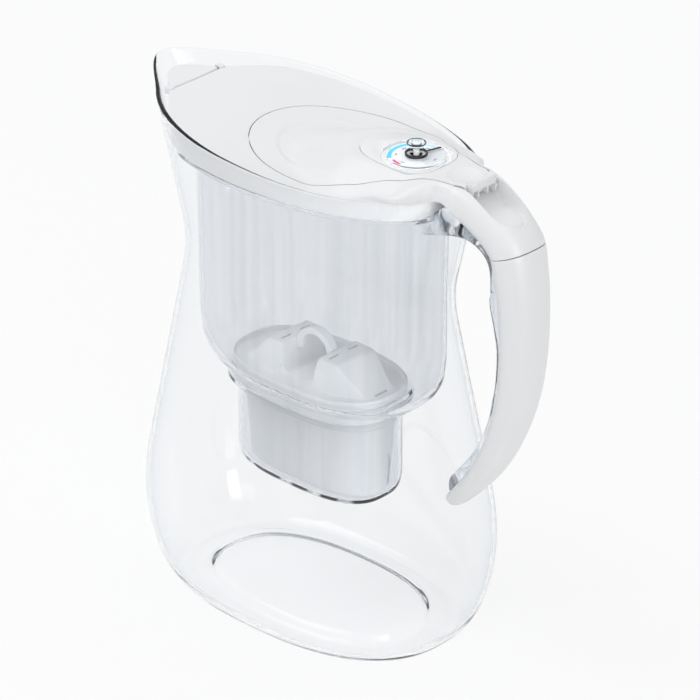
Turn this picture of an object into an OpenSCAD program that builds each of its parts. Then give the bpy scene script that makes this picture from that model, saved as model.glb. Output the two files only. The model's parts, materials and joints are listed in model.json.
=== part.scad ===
// Water filter pitcher: a clear waisted jug with a clipped-on handle cover, a lift-out funnel with
// its cartridge, and a lid with a flip hatch, a spout flap and a change dial. Millimetres, +Z up.
// The origin is under the middle of the whole pitcher, on the surface it stands on.

/* [Jug] */
// Height of the rim at the handle side
rim_h = 280; // [270:1:300]
// Extra height of the rim at the spout tip
spout_rise = 14.6; // [8:0.2:18]
// How far the spout reaches in front of the oval rim
spout_reach = 15; // [8:1:20]
// Half width over which the spout leaves the oval
spout_half = 34; // [26:1:38]
// Length of the jug at the rim
rim_len = 205; // [200:1:215]
// Width of the jug at the rim
rim_wid = 121; // [118:1:130]
// How far the widest part of the rim lies towards the spout
rim_shift = 9; // [4:1:12]
// Height of the waist
waist_h = 203; // [190:1:215]
// Length of the jug at the waist
waist_len = 173; // [170:1:180]
// Width of the jug at the waist
waist_wid = 97; // [95:1:102]
// Height of the widest part
belly_h = 55; // [45:1:65]
// Length of the jug at its widest part
belly_len = 215; // [205:1:225]
// Width of the jug at its widest part
belly_wid = 145; // [138:1:152]
// Length of the foot
foot_len = 170; // [160:1:180]
// Width of the foot
foot_wid = 104; // [98:1:110]
// Wall thickness of the jug
jug_wall = 2.6; // [2:0.1:3.2]
// Length of the raised middle of the base
punt_len = 133; // [120:1:140]
// Width of the raised middle of the base
punt_wid = 76; // [66:1:80]
// Height of the raised middle of the base
punt_h = 6; // [3:0.5:9]

/* [Handle] */
// Height of the handle's lower end
handle_foot_h = 102.6; // [95:0.5:110]
// Half width of the handle at the top
grip_half_top = 16; // [15:0.5:18]
// Half width of the handle at its lower end
grip_half_low = 11.5; // [10:0.5:14]
// Wall thickness of the white handle cover
cover_wall = 2.4; // [2:0.1:3]
// Clearance between the cover and the clear core
cover_gap = 0.3; // [0.2:0.05:0.5]

/* [Funnel] */
// Wall thickness of the funnel
funnel_wall = 2; // [1.6:0.1:2.6]
// Clearance between the reservoir and the waist at each end
end_room = 6.4; // [4:0.2:10]
// Clearance between the reservoir and the waist at each side
side_room = 2.9; // [2:0.1:6]
// Height of the funnel's outer bottom corner
funnel_floor_h = 150; // [146:1:156]
// How far the funnel's flange lies below the rim
flange_drop = 12; // [10:0.5:18]
// Thickness of the funnel's flange
flange_t = 3.2; // [2.4:0.2:4]
// Clearance between the flange and the jug
flange_gap = 0.4; // [0.3:0.1:0.8]
// Distance from the jug's middle to the funnel's front edge
channel_x = 66; // [62:1:70]

/* [Cartridge] */
// Length of the cartridge rim
cart_len = 106; // [100:1:108]
// Width of the cartridge rim
cart_wid = 62.4; // [58:0.2:64]
// Height of the cartridge rim above the table
cart_top_h = 144; // [142:0.5:146]
// Height of the cartridge cap's skirt
cap_skirt = 14; // [12:0.5:16]
// Depth of the cup below the cap
cup_depth = 50; // [44:1:52]
// Wall thickness of the cartridge
cart_wall = 1.6; // [1.2:0.1:2]
// Height of the grip humps above the cap's pan
hump_h = 16; // [12:0.5:18]
// Clearance between the cartridge and its seat
cart_gap = 0.4; // [0.3:0.1:0.8]

/* [Lid] */
// How far the lid's edge lies below the rim at the handle side
lid_sink = 0.8; // [0.6:0.1:3]
// Share of the rim's slope that the lid follows
lid_tilt = 0.68; // [0.6:0.02:0.85]
// Thickness of the lid
lid_t = 2.4; // [2:0.1:3]
// Clearance between the lid and the jug
lid_gap = 0.8; // [0.6:0.1:1.2]
// Depth of the dished front of the lid
lid_dish = 3.2; // [1:0.2:4]
// Height of the raised back of the lid
ridge_h = 12.3; // [10:0.5:14]
// Half width of the lid's tail
tail_half = 18; // [17:0.5:20]
// Depth of the thumb scoop in the tail
scoop_depth = 9; // [6:0.5:10]
// Half width of the thumb scoop
scoop_half = 12; // [10:0.5:12.5]

/* [Hatch] */
// Half width of the hatch
hatch_half = 44.3; // [38:0.5:46]
// Half width of the hatch at its hinge
hatch_neck = 13; // [11:0.5:13.2]
// Distance from the jug's middle to the front of the hatch
hatch_front = 37.3; // [30:0.5:42]
// Seam gap around the hatch
hatch_gap = 0.5; // [0.3:0.1:0.8]
// Thickness of the hatch
hatch_t = 3; // [2.6:0.1:3.6]
// Radius of the hatch's hinge pins
hinge_r = 1.5; // [1.2:0.1:2]
// Running clearance of the hinge pins
pin_gap = 0.06; // [0.02:0.01:0.1]
// Height of the thumb lip
lip_h = 4.8; // [4:0.2:6]

/* [Spout flap] */
// Distance from the jug's middle to the flap's seam
flap_seam = 90.2; // [88:0.1:91]
// Length of the flap
flap_len = 16.5; // [12:0.5:17]
// Half width of the flap at its seam
flap_half = 17.4; // [14:0.2:18]
// Thickness of the flap
flap_t = 2; // [1.6:0.1:2.4]
// Radius of the flap's pins
flap_pin_r = 1; // [0.8:0.1:1.2]

/* [Dial] */
// Distance from the jug's middle to the dial's centre
dial_x = 70; // [66:0.5:71]
// Radius of the dial
dial_r = 18.5; // [16:0.5:18.7]
// Height of the dial's clear bezel
dial_t = 1.8; // [1.4:0.1:2.4]
// Half width of the egg-shaped dial tray
tray_half = 19.6; // [19:0.1:20]
// Depth of the tray's seat in the hatch
tray_t = 1.8; // [1.4:0.1:2]

/* [Hidden] */

clear_c = [0.86, 0.91, 0.95, 0.35];
white_c = [0.93, 0.94, 0.95];
grey_c = [0.78, 0.80, 0.82];

around = 56;            // points round the jug
flange_h = rim_h - flange_drop;
lid_h = rim_h - lid_sink;
funnel_len = waist_len - 2*jug_wall - 2*end_room;
funnel_wid = waist_wid - 2*jug_wall - 2*side_room;
rise_from = 50;         // where the rim starts to rise, from the jug's middle
spout_tip = rim_len/2 + spout_reach;
// The handle and the lid's tail are drawn for a rim of this height and length and move with the rim
drawn_rim_h = 280;
drawn_rim_len = 205;
drawn_foot_h = 102.6;
to_back = (rim_len - drawn_rim_len)/2;
handle_back = 157 + to_back;                       // furthest back of the handle, from the jug's middle
mid_x = (handle_back - spout_tip)/2;
function drawn(line) = [for (p = line) [for (i = [0:len(p) - 1])
    i == 0 ? p.x + to_back
    : i == 1 ? handle_foot_h + (p.y - drawn_foot_h)*(rim_h - handle_foot_h)/(drawn_rim_h - drawn_foot_h)
    : p[i]]];

// ---- shaping functions ----

// A ramp from 0 to 1 whose two ends are eased by parabolas of lengths e0 and e1
function ramp(t, e0, e1) =
    let (m = 1/(1 - e0/2 - e1/2))
    t < e0 ? m*t*t/(2*e0) : t > 1 - e1 ? 1 - m*(1 - t)*(1 - t)/(2*e1) : m*(t - e0/2);
// A smooth step from 0 at a to 1 at b
function step(v, a, b) = let (t = min(1, max(0, (v - a)/(b - a)))) t*t*(3 - 2*t);
function mix(a, b, t) = a + (b - a)*t;
function power(c, n) = sign(c)*pow(abs(c), 2/n);
// A point of a superellipse with its own front and rear lengths
function oval(t, front, rear, half, n, mid = 0) =
    [mid + (cos(t) < 0 ? front : rear)*power(cos(t), n), half*power(sin(t), n)];
function flat_oval(len, wid, n, count) =
    [for (i = [0:count - 1]) oval(i*360/count, len/2, len/2, wid/2, n)];
function ring_at(len, wid, z, n, count) =
    [for (p = flat_oval(len, wid, n, count)) [p.x, p.y, z]];

// A spline through a list of points, a number of steps from each point to the next
function bend(p, i, t) =
    let (a = p[max(i - 1, 0)], b = p[i], c = p[i + 1], d = p[min(i + 2, len(p) - 1)])
    0.5*((2*b) + (c - a)*t + (2*a - 5*b + 4*c - d)*t*t + (3*b - a - 3*c + d)*t*t*t);
function spline(p, steps) =
    concat([for (i = [0:len(p) - 2]) for (k = [0:steps - 1]) bend(p, i, k/steps)], [p[len(p) - 1]]);

// ---- solids from rings of points ----

// A closed skin over a stack of rings, capped at both ends, or joined end to end
module skin(rings, joined = false) {
    n = len(rings[0]);
    m = len(rings);
    rows = joined ? m : m - 1;
    sides = [for (j = [0:rows - 1]) for (i = [0:n - 1])
        let (a = j*n + i, b = j*n + (i + 1)%n, c = ((j + 1)%m)*n + (i + 1)%n, d = ((j + 1)%m)*n + i)
        each [[a, c, b], [a, d, c]]];
    caps = joined ? [] : [[for (i = [0:n - 1]) i], [for (i = [n - 1:-1:0]) (m - 1)*n + i]];
    polyhedron([for (r = rings) each r], concat(sides, caps));
}

// A channel swept along its rings: each ring runs along the outside and back along the inside
module channel(rings) {
    n = len(rings[0]);
    m = len(rings);
    h = n/2;
    sides = [for (j = [0:m - 2]) for (i = [0:n - 1])
        let (a = j*n + i, b = j*n + (i + 1)%n, c = (j + 1)*n + (i + 1)%n, d = (j + 1)*n + i)
        each [[a, c, b], [a, d, c]]];
    ends = [for (i = [0:h - 2]) let (k = n - 1 - i, e = (m - 1)*n)
        each [[i, i + 1, k - 1], [i, k - 1, k], [e + i, e + k - 1, e + i + 1], [e + i, e + k, e + k - 1]]];
    faces = concat(sides, ends);
    polyhedron([for (r = rings) each r], [for (f = faces) [f.z, f.y, f.x]]);
}

// ---- the jug ----

function body_size(h, foot, belly, waist, rim) =
    h < belly_h ? foot + (belly - foot)*pow(1 - pow(1 - h/belly_h, 1.8), 1/1.8)
    : h < waist_h ? belly + (waist - belly)*ramp((h - belly_h)/(waist_h - belly_h), 0.2, 0.1)
    : waist + (rim - waist)*ramp((h - waist_h)/(rim_h - waist_h), 0.2, 0);
function body_half_len(h) = body_size(h, foot_len, belly_len, waist_len, rim_len)/2;
function body_half_wid(h) = body_size(h, foot_wid, belly_wid, waist_wid, rim_wid)/2;
function body_n(h) = mix(2.4, 2.1, h/rim_h);
function above_waist(h) = max(0, (h - waist_h)/(rim_h - waist_h));
function rise(x) = spout_rise*pow(max(0, (rise_from - x)/(rise_from + spout_tip)), 1.5);

// A point of the jug's skin at the nominal height h, set in from the outside
function jug_point(t, h, inset) =
    let (l = body_half_len(h) - inset, w = body_half_wid(h) - inset, f = above_waist(h),
         mid = -rim_shift*f, p = oval(t, l + mid, l - mid, w, body_n(h), mid),
         beak = spout_reach*pow(f, 2)*(1 - step(abs(p.y), 0, spout_half)),
         x = cos(t) < 0 ? p.x - beak : p.x)
    [x, p.y, h + rise(x)*f];
function jug_ring(h, inset) = [for (i = [0:around - 1]) jug_point(i*360/around, h, inset)];

// Heights of the rows of points, from the foot up
low_rows = [for (k = [1:11]) belly_h*(1 - pow(cos(k*90/11), 1.6))];
high_rows = [for (k = [1:8]) mix(belly_h, waist_h - 9, k/8)];
tank_rows = concat(low_rows, high_rows, [waist_h - 4, waist_h]);
base_rows = 2;          // the last row of the wall that belongs to the floor
rim_round = 0.7;
top_shares = [0.31, 0.52, 0.75];
collar_rows = [for (f = concat([0, 0.03, 0.08, 0.16], top_shares)) mix(waist_h, rim_h, f)];

// A wall of the jug through the given rows, with the rings of its rounded edge
module shell(rows, edge = [])
    skin(concat([for (h = rows) jug_ring(h, 0)], edge,
                [for (k = [len(rows) - 1:-1:0]) jug_ring(rows[k], jug_wall)]), joined = true);

// The jug's floor with its raised middle, up to the foot of the tank's wall
module jug_base() color(clear_c) {
    n = body_n(0);
    base = [
        ring_at(punt_len - 8, punt_wid - 8, punt_h, n, around),
        ring_at(punt_len, punt_wid, punt_h - 0.8, n, around),
        ring_at(punt_len + 5, punt_wid + 5, 0, n, around),
        ring_at(foot_len, foot_wid, 0, n, around)];
    wall = concat([for (k = [0:base_rows]) jug_ring(tank_rows[k], 0)],
                  [jug_ring(tank_rows[base_rows], jug_wall)]);
    floor_rings = [
        ring_at(foot_len + 4, foot_wid + 4, jug_wall, n, around),
        ring_at(punt_len + 9, punt_wid + 9, jug_wall, n, around),
        ring_at(punt_len + 4, punt_wid + 4, punt_h - 0.8 + jug_wall, n, around),
        ring_at(punt_len - 4, punt_wid - 4, punt_h + jug_wall, n, around)];
    skin(concat(base, wall, floor_rings));
}

// The wall of the jug's tank, up to the waist
module jug() color(clear_c) shell([for (k = [base_rows:len(tank_rows) - 1]) tank_rows[k]]);

// The jug's collar, which goes on from the waist and widens
module jug_collar() color(clear_c) shell(collar_rows);

// The jug's rim, which rises to the spout
module jug_rim() color(clear_c)
    shell([collar_rows[len(collar_rows) - 1]],
          [jug_ring(rim_h - rim_round, 0), jug_ring(rim_h, rim_round), jug_ring(rim_h, jug_wall - rim_round),
           jug_ring(rim_h - rim_round, jug_wall)]);

// ---- the handle: one centre line carries the lid's tail and the white cover ----

// Stations of the centre line: back, height, half thickness
handle_line = drawn([[92, 282.3, 9], [100, 282.3, 9], [108, 282.3, 9], [115, 280.6, 9.6], [121.5, 277.6, 10.6],
               [129.5, 272.6, 11.5], [136.6, 266.4, 11.8], [140.9, 260.5, 11.9],
               [143.4, 248.7, 11.6], [145.3, 235, 11.2], [146.4, 212, 10.4], [145, 188, 9.4],
               [141.7, 170, 8.6], [136, 152, 7.8], [128.4, 135, 7], [119.8, 121.2, 6.3],
               [110.9, 110, 5.6], [104.5, 102.6, 5]]);
seam_at = 7;            // the station where the tail ends and the cover starts
seam_gap = 0.4;
grip_edge = 0.7;        // how far round the channel's edges come, as a share of its half thickness

// The unit vector that points out of the back of the handle at station s of a line
function outward(line, s) =
    let (i = min(floor(s), len(line) - 2), reach = 0.02,
         a = bend(line, i, s - i - reach), b = bend(line, i, s - i + reach), d = [b.x - a.x, b.y - a.y])
    [-d.y, d.x]/norm(d);
function station(line, s) = let (i = min(floor(s), len(line) - 2)) bend(line, i, s - i);
function place(line, s, across, out) =
    let (c = station(line, s), n = outward(line, s))
    [c.x + n.x*out, across, c.y + n.y*out];

// One ring of the white channel: over the back of the handle and back along the inside
function arch(s, half, wall, count, n) =
    let (thick = station(handle_line, s).z, sweep = 90 + asin(grip_edge),
         turn = [for (i = [0:count - 1]) mix(-sweep, sweep, i/(count - 1))],
         outside = [for (a = turn) place(handle_line, s, half*power(sin(a), n), thick*power(cos(a), n))],
         inside = [for (i = [count - 1:-1:0]) let (a = turn[i])
             place(handle_line, s, (half - wall)*power(sin(a), n), (thick - wall)*power(cos(a), n))])
    concat(outside, inside);

module handle_cover() color(white_c) {
    last = len(handle_line) - 1;
    first = seam_at + seam_gap/norm(handle_line[seam_at + 1] - handle_line[seam_at]);
    stations = concat([first], [for (k = [1:2*(last - seam_at)]) seam_at + k/2]);
    channel([for (s = stations)
        arch(s, mix(grip_half_top, grip_half_low, (s - seam_at)/(last - seam_at)), cover_wall, 15, 2.4)]);
}

// Stations of the clear core: back, height, half thickness, half width
core_line = drawn([[86, 267.5, 10.5, 28], [91, 267.5, 10.3, 25], [97, 267.5, 10, 19.5], [105, 267.3, 9, 14],
             [114, 266, 8, 11], [123, 262, 7.6, 9.4], [130.5, 255.5, 8.6, 8.4], [135.5, 246.5, 11, 8],
             [138.6, 234, 13.6, 8], [139.2, 227, 14.6, 8], [140.6, 216, 13.2, 8], [141.8, 201, 11.4, 8],
             [140.4, 183, 10.4, 7.8], [137.8, 170.7, 9.6, 7.6], [133.6, 156, 8.4, 7.4],
             [127.5, 142, 7.6, 7.2], [119.8, 128.6, 7, 7], [110, 116, 6.6, 6.8], [98, 102.5, 6.4, 6.6]]);
core_points = 24;

function core_ring(s) =
    let (c = station(core_line, s))
    [for (i = [0:core_points - 1]) let (a = i*360/core_points)
        place(core_line, s, c[3]*power(cos(a), 2.6), c.z*power(sin(a), 2.6))];

// The clear core of the handle, cut to the jug's wall at both ends
module handle_core() color(clear_c) difference() {
    skin([for (k = [0:2*(len(core_line) - 1)]) core_ring(k/2)]);
    skin(concat([for (f = concat(top_shares, 1)) jug_ring(mix(waist_h, rim_h, f), -cover_gap)],
                [[for (p = jug_ring(rim_h, -cover_gap)) [p.x, p.y, p.z + 9]]]));
    skin([for (k = [3:7]) jug_ring(mix(belly_h, waist_h - 9, k/8 - 1/4), -cover_gap)]);
}

// ---- the funnel ----

// A point of the jug's skin at a true height, allowing for the slope of the rim
function level_point(t, z, inset) =
    let (p = jug_point(t, z, inset), q = jug_point(t, 2*z - p.z, inset), h = 2*z - p.z - (q.z - z))
    let (r = jug_point(t, h, inset)) [r.x, r.y, z];
function front_edge(y) = -channel_x + 4 - 8*(1 - pow(y/funnel_wid*2, 2));
function flange_ring(z, inset) = [for (i = [0:around - 1])
    let (p = level_point(i*360/around, z, jug_wall + flange_gap + inset))
    [max(p.x, front_edge(p.y) + inset), p.y, z]];
function funnel_ring(len, wid, z, n = 2.4) = [for (i = [0:around - 1])
    let (p = oval(i*360/around, len/2, len/2, wid/2, n, funnel_x))
    [max(p.x, front_edge(p.y) + (funnel_len - len)/2 + 1), p.y, z]];
function seat_ring(len, wid, z) =
    [for (p = ring_at(len, wid, z, cart_n, around)) [p.x + cart_x, p.y, z]];

cart_n = 2.76;          // squareness of the cartridge and of its seat
funnel_x = 2.5;         // middle of the reservoir
cart_x = 0.5;           // middle of the cartridge and of its seat
seat_h = cart_top_h - cap_skirt;                   // the shelf that the cap's skirt stands on
seat_len = cart_len + 2*cart_gap;
seat_wid = cart_wid + 2*cart_gap;
house_len = cart_len - 9;                          // inside of the housing below the shelf
house_wid = cart_wid - 10.4;
house_low = seat_h - cup_depth - 0.8;              // inside bottom of the housing

pocket_top = cart_top_h - 8;                       // where the tub goes over into the pocket

// The funnel's tub, with the flange that it hangs by
module funnel() color(clear_c) {
    w = 2*funnel_wall;
    corner = funnel_floor_h;
    outer = [
        seat_ring(seat_len + w, seat_wid + w, pocket_top),
        funnel_ring(funnel_len - 22, funnel_wid - 10, cart_top_h - 4),
        funnel_ring(funnel_len - 9, funnel_wid - 4.5, corner - 3.5),
        funnel_ring(funnel_len - 3, funnel_wid - 1.5, corner + 3),
        funnel_ring(funnel_len, funnel_wid, corner + 16),
        funnel_ring(funnel_len, funnel_wid, waist_h),
        funnel_ring(funnel_len + 2, funnel_wid + 1, flange_h - 20),
        funnel_ring(funnel_len + 2, funnel_wid + 1, flange_h - flange_t - 2.5),
        flange_ring(flange_h - flange_t, 0.6)];
    edge = [
        flange_ring(flange_h - flange_t + 0.6, 0),
        flange_ring(flange_h - 0.6, 0),
        flange_ring(flange_h, 0.6)];
    inner = [
        funnel_ring(funnel_len + 4 - w, funnel_wid + 3 - w, flange_h),
        funnel_ring(funnel_len + 2 - w, funnel_wid + 1 - w, flange_h - 1.5),
        funnel_ring(funnel_len + 2 - w, funnel_wid + 1 - w, flange_h - 20),
        funnel_ring(funnel_len - w, funnel_wid - w, waist_h),
        funnel_ring(funnel_len - w, funnel_wid - w, corner + 16),
        funnel_ring(funnel_len - 3 - w, funnel_wid - 1.5 - w, corner + 4.5),
        funnel_ring(funnel_len - 9 - w, funnel_wid - 4.5 - w, corner - 1),
        funnel_ring(funnel_len - 22 - w, funnel_wid - 10 - w, cart_top_h - 2),
        seat_ring(seat_len + 3, seat_wid + 3, cart_top_h - 3),
        seat_ring(seat_len, seat_wid, cart_top_h - 6),
        seat_ring(seat_len, seat_wid, pocket_top)];
    skin(concat(outer, edge, inner), joined = true);
}

// The funnel's pocket, which goes on below the tub: a shelf for the cap and a housing for the cup
module funnel_pocket() color(clear_c) {
    w = 2*funnel_wall;
    rings = [
        seat_ring(house_len + w - 14, house_wid + w - 14, house_low - funnel_wall),
        seat_ring(house_len + w - 6, house_wid + w - 6, house_low - funnel_wall + 1.2),
        seat_ring(house_len + w - 2, house_wid + w - 2, house_low + 2.4),
        seat_ring(house_len + w, house_wid + w, house_low + 9),
        seat_ring(house_len + w, house_wid + w, seat_h - 5),
        seat_ring(seat_len + w, seat_wid + w, seat_h - 1),
        seat_ring(seat_len + w, seat_wid + w, pocket_top),
        seat_ring(seat_len, seat_wid, pocket_top),
        seat_ring(seat_len, seat_wid, seat_h),
        seat_ring(house_len, house_wid, seat_h),
        seat_ring(house_len, house_wid, house_low + 9),
        seat_ring(house_len - 2, house_wid - 2, house_low + 3.4),
        seat_ring(house_len - 6, house_wid - 6, house_low + 1),
        seat_ring(house_len - 12, house_wid - 12, house_low)];
    difference() {
        skin(rings);
        for (x = [-20, 0, 20]) translate([cart_x + x, 0, house_low - funnel_wall - 1])
            cylinder(h = funnel_wall + 2, r = 4.5, $fn = 32);
    }
}

// ---- the cartridge ----

pan_h = cart_top_h - 2.5;                          // upper face of the cap's pan
cup_low = seat_h - cup_depth;
cup_len = cart_len - 17.2;
cup_wid = cart_wid - 20.6;
cup_taper = 3;
shelf_t = 1.8;
strainer_t = 0.8;
fleece_t = 1;
bed_top = seat_h - 3;

module oval_plate(len, wid, z, h, n = cart_n) {
    translate([cart_x, 0, z]) linear_extrude(h) polygon(flat_oval(len, wid, n, around));
}

function cup_ring(len, wid, z) = [for (p = flat_oval(len, wid, cart_n, 48)) [p.x + cart_x, p.y, z]];

// The cup tapers down from a flange that closes the cap's skirt
module cartridge_cup() color(grey_c) difference() {
    flange = [cart_len - 2*cart_wall - 0.4, cart_wid - 2*cart_wall - 0.4];
    top = [cup_len + 2*cup_taper, cup_wid + 2*cup_taper];
    w = 2*cart_wall;
    skin([cup_ring(cup_len - 6, cup_wid - 6, cup_low), cup_ring(cup_len - 1.2, cup_wid - 1.2, cup_low + 1),
          cup_ring(cup_len, cup_wid, cup_low + 3), cup_ring(top.x, top.y, seat_h - 3),
          cup_ring(top.x, top.y, seat_h + 0.2), cup_ring(flange.x, flange.y, seat_h + 0.2),
          cup_ring(flange.x, flange.y, seat_h + 0.2 + shelf_t),
          cup_ring(top.x - w, top.y - w, seat_h + 0.2 + shelf_t),
          cup_ring(top.x - w, top.y - w, seat_h - 3), cup_ring(cup_len - w, cup_wid - w, cup_low + 3),
          cup_ring(cup_len - w, cup_wid - w, cup_low + cart_wall)]);
    for (x = [-32:8:32]) translate([cart_x + x - 1, -cup_wid/2 + 7, cup_low - 1])
        cube([2, cup_wid - 14, cart_wall + 2]);
}

module bottom_strainer() color("white")
    oval_plate(cup_len - 2*cart_wall - 0.4, cup_wid - 2*cart_wall - 0.4, cup_low + cart_wall, strainer_t);

module granulate() color([0.35, 0.33, 0.30]) {
    z = cup_low + cart_wall + strainer_t;
    oval_plate(cup_len - 2*cart_wall - 0.4, cup_wid - 2*cart_wall - 0.4, z, bed_top - z);
}

module top_fleece() color("white")
    oval_plate(cup_len - 2*cart_wall - 0.4, cup_wid - 2*cart_wall - 0.4, bed_top, fleece_t);

hump_x = 18.5;          // middle of each grip hump's flat top
hump_long = 10;
hump_wide = 27;
hump_rear = 49;         // where the rear hump ends, and the front one
hump_front = 40;
pit_half = 12.5;        // half length of the finger pit between the humps
pit_from = -22;         // from here to the loop the pit is open
loop_from = 5;          // the finger loop is an arched band across the pit
loop_wide = 4.5;
loop_r = 14;
loop_hole_r = 10.2;
slot_w = 1.4;           // water slots in the humps
slot_long = 7.2;

// One grip hump: steep towards the pit, sloping down to the far end of the cap
module hump(side) hull() {
    reach = side > 0 ? hump_rear : hump_front;
    translate([side*hump_x - hump_long/2, -hump_wide/2, pan_h + hump_h - 1.5])
        cube([hump_long, hump_wide, 1.5]);
    translate([side*(pit_half + 8) - 8, -hump_wide/2 - 7, pan_h - 0.5]) cube([16, hump_wide + 14, 0.5]);
    translate([side*(reach - 1) - 1, -9, pan_h - 0.5]) cube([2, 18, 0.5]);
}

module cartridge_cap() color(white_c) difference() {
    union() {
        difference() {
            oval_plate(cart_len, cart_wid, seat_h, cap_skirt);
            oval_plate(cart_len - 2*cart_wall, cart_wid - 2*cart_wall, seat_h - 1, cap_skirt - 3);
            oval_plate(cart_len - 5, cart_wid - 5, pan_h, 4);
        }
        translate([cart_x, 0, 0]) for (side = [-1, 1]) hump(side);
        intersection() {
            translate([cart_x, loop_from, pan_h + 1.5]) rotate([-90, 0, 0])
                cylinder(h = loop_wide, r = loop_r, $fn = 64);
            translate([cart_x - 20, 0, pan_h - 0.5]) cube([40, 20, hump_h]);
        }
    }
    translate([cart_x, loop_from - 1, pan_h + 1.5]) rotate([-90, 0, 0])
        cylinder(h = loop_wide + 2, r = loop_hole_r, $fn = 64);
    translate([cart_x - pit_half, pit_from, pan_h]) cube([2*pit_half, loop_from - pit_from, hump_h + 5]);
    for (side = [-1, 1]) for (y = [-3.8 - slot_long, 3.8])
        translate([cart_x + side*hump_x - slot_w/2, y, pan_h + hump_h - 3]) cube([slot_w, slot_long, 5]);
    translate([cart_x + hump_rear - 4.7, -4.8, pan_h - 1]) cube([slot_w, 9.6, 8]);
}

// ---- the lid's shared surface ----

lid_line_h = rim_h - 4;                            // height at which the jug gives the lid its outline
lid_in = jug_wall + lid_gap;
lid_l = body_half_len(lid_line_h) - lid_in;
lid_w = body_half_wid(lid_line_h) - lid_in;
lid_m = -rim_shift*above_waist(lid_line_h);
lid_n = body_n(lid_line_h);
crown = lid_h + ridge_h;
hatch_mid = 22;         // middle of the hatch's rounded front
neck_at = 108 + to_back;                          // where the hatch has narrowed to its neck
over_rim = 3.6;         // how far the lid's edge climbs to pass over the rim
hinge_x = 115.5 + to_back;
hinge_z = crown - 5.5;
pin_half = 15;          // half length of the hinge's pins, and of the knuckle between them
knuckle_half = 12.8;
lip_half = 9.2;
thumb_x = 104;          // middle of the round dish for the thumb
thumb_r = 20;
thumb_deep = 2.4;
flap_x = -flap_seam - 2.4;                         // the spout flap's hinge
flap_x_room = 3;
flap_z = lid_top(flap_x, 0) - 1.2;
tray_x = 66;            // widest place of the dial tray
tray_front = 29;
tray_rear = 23;
tray_low = crown + 0.2 - tray_t;
bezel_w = 2.4;          // width of the clear bezel
face_low = tray_low + 0.8;
face_t = 0.5;
disc_t = 0.8;
spindle_r = 1.5;
disc_low = face_low + face_t + 0.3;
knob_foot = disc_low + disc_t;
hub_r = 6.2;
stem_r = 3.4;
knob_r = 5.1;
knob_h = 7.4;
pointer_turn = 75;

// The lid's own outline, clear of the jug's wall, and its half width at x
function lid_point(t, inset = 0) =
    let (p = oval(t, lid_l - inset + lid_m, lid_l - inset - lid_m, lid_w - inset, lid_n, lid_m))
    [p.x, p.y*(1 - 0.14*step(-p.x, 65, flap_seam))];
function lid_half_at(x) =
    let (r = (x - lid_m)/(x < lid_m ? lid_l + lid_m : lid_l - lid_m))
    lid_w*pow(1 - pow(min(0.97, abs(r)), lid_n), 1/lid_n);
// The direction in which the lid's outline reaches x behind the middle
function lid_turn(x) = acos(pow((x - lid_m)/(lid_l - lid_m), lid_n/2));
function edge_h(x) = lid_h + lid_tilt*rise(x) + over_rim*step(x, 58, 76);

function lid_top(x, y) =
    let (u = min(1, abs(y)/max(33, lid_half_at(x))), q = min(1, u*u/0.64),
         a = step(x, mix(-15, 28, q), mix(37, 56, q)),
         u0 = 0.2 + 0.18*step(x, 28, 46) + 0.07*step(x, 55, 80),
         dip = lid_dish*(0.45 + 0.55*step(x, -40, 0)))
    mix(edge_h(x) - dip*(1 - u*u*u)*(1 - a), crown, a*(1 - ramp(max(0, u - u0)/(1 - u0), 0.2, 0.15)));

function hatch_half_at(x, grow = 0) =
    let (a = hatch_front + hatch_mid + grow, b = hatch_half + grow)
    x < hatch_mid ? b*sqrt(max(0, 1 - pow((x - hatch_mid)/a, 2)))
    : hatch_neck + grow + (hatch_half - hatch_neck)*(1 - step(x, hatch_mid + 8, neck_at));

// ---- the lid ----

shoulder_from = 72 + to_back;           // where the lid's outline leaves the jug's oval for the tail
t_first = lid_turn(shoulder_from);
shoulder = spline([[neck_at, tail_half], [neck_at - 8, tail_half + 0.4], [neck_at - 13.5, tail_half + 7],
                   [neck_at - 21, tail_half + 15], lid_point(t_first)], 3);
front_steps = 26;
// The outline from the tail round to the middle of the front, on the +Y side
lid_side = concat(
    [for (i = [0:len(shoulder) - 2]) shoulder[i]],
    [for (k = [0:front_steps]) let (p = lid_point(mix(t_first, 180, k/front_steps)))
        [max(p.x, -flap_seam), p.y]]);
// The edge of the hatch opening that faces a point of the outline
function opening_point(p, k) =
    let (x = p.x, s = k/front_steps)
    x > hatch_mid ? [x, hatch_half_at(x, hatch_gap)]
    : let (a = 90 + 90*pow((s - turn_at)/(1 - turn_at), 0.9))
      [hatch_mid + (hatch_front + hatch_mid + hatch_gap)*cos(a), (hatch_half + hatch_gap)*sin(a)];
turn_at = (lid_turn(hatch_mid) - t_first)/(180 - t_first);

deck_steps = 6;
// One section of the deck: over the top from the outer edge to the opening and back beneath
function deck_ring(k, side) =
    let (p = lid_side[k], q = opening_point(p, k - len(shoulder) + 1),
         row = [for (i = [0:deck_steps]) let (f = i/deck_steps) [mix(p.x, q.x, f), mix(p.y, q.y, f)]],
         low = mix(edge_h(p.x) - lid_t, handle_line[0].y, step(p.x, neck_at - 14, neck_at - 6)),
         top = [for (r = row) [r.x, side*r.y, lid_top(r.x, r.y)]],
         under = [for (i = [deck_steps:-1:1]) let (r = row[i]) [r.x, side*r.y, lid_top(r.x, r.y) - lid_t]],
         in = [mix(row[0].x, row[1].x, 0.25), mix(row[0].y, row[1].y, 0.25)])
    concat([[p.x, side*p.y, low]], top, under,
        [[in.x, side*in.y, lid_top(in.x, in.y) - lid_t], [in.x, side*in.y, low]]);

skirt_low = flange_h + 0.3;
skirt_t = 1.6;
skirt_in = 0.8;         // how far inside the deck's edge the skirt starts
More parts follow.
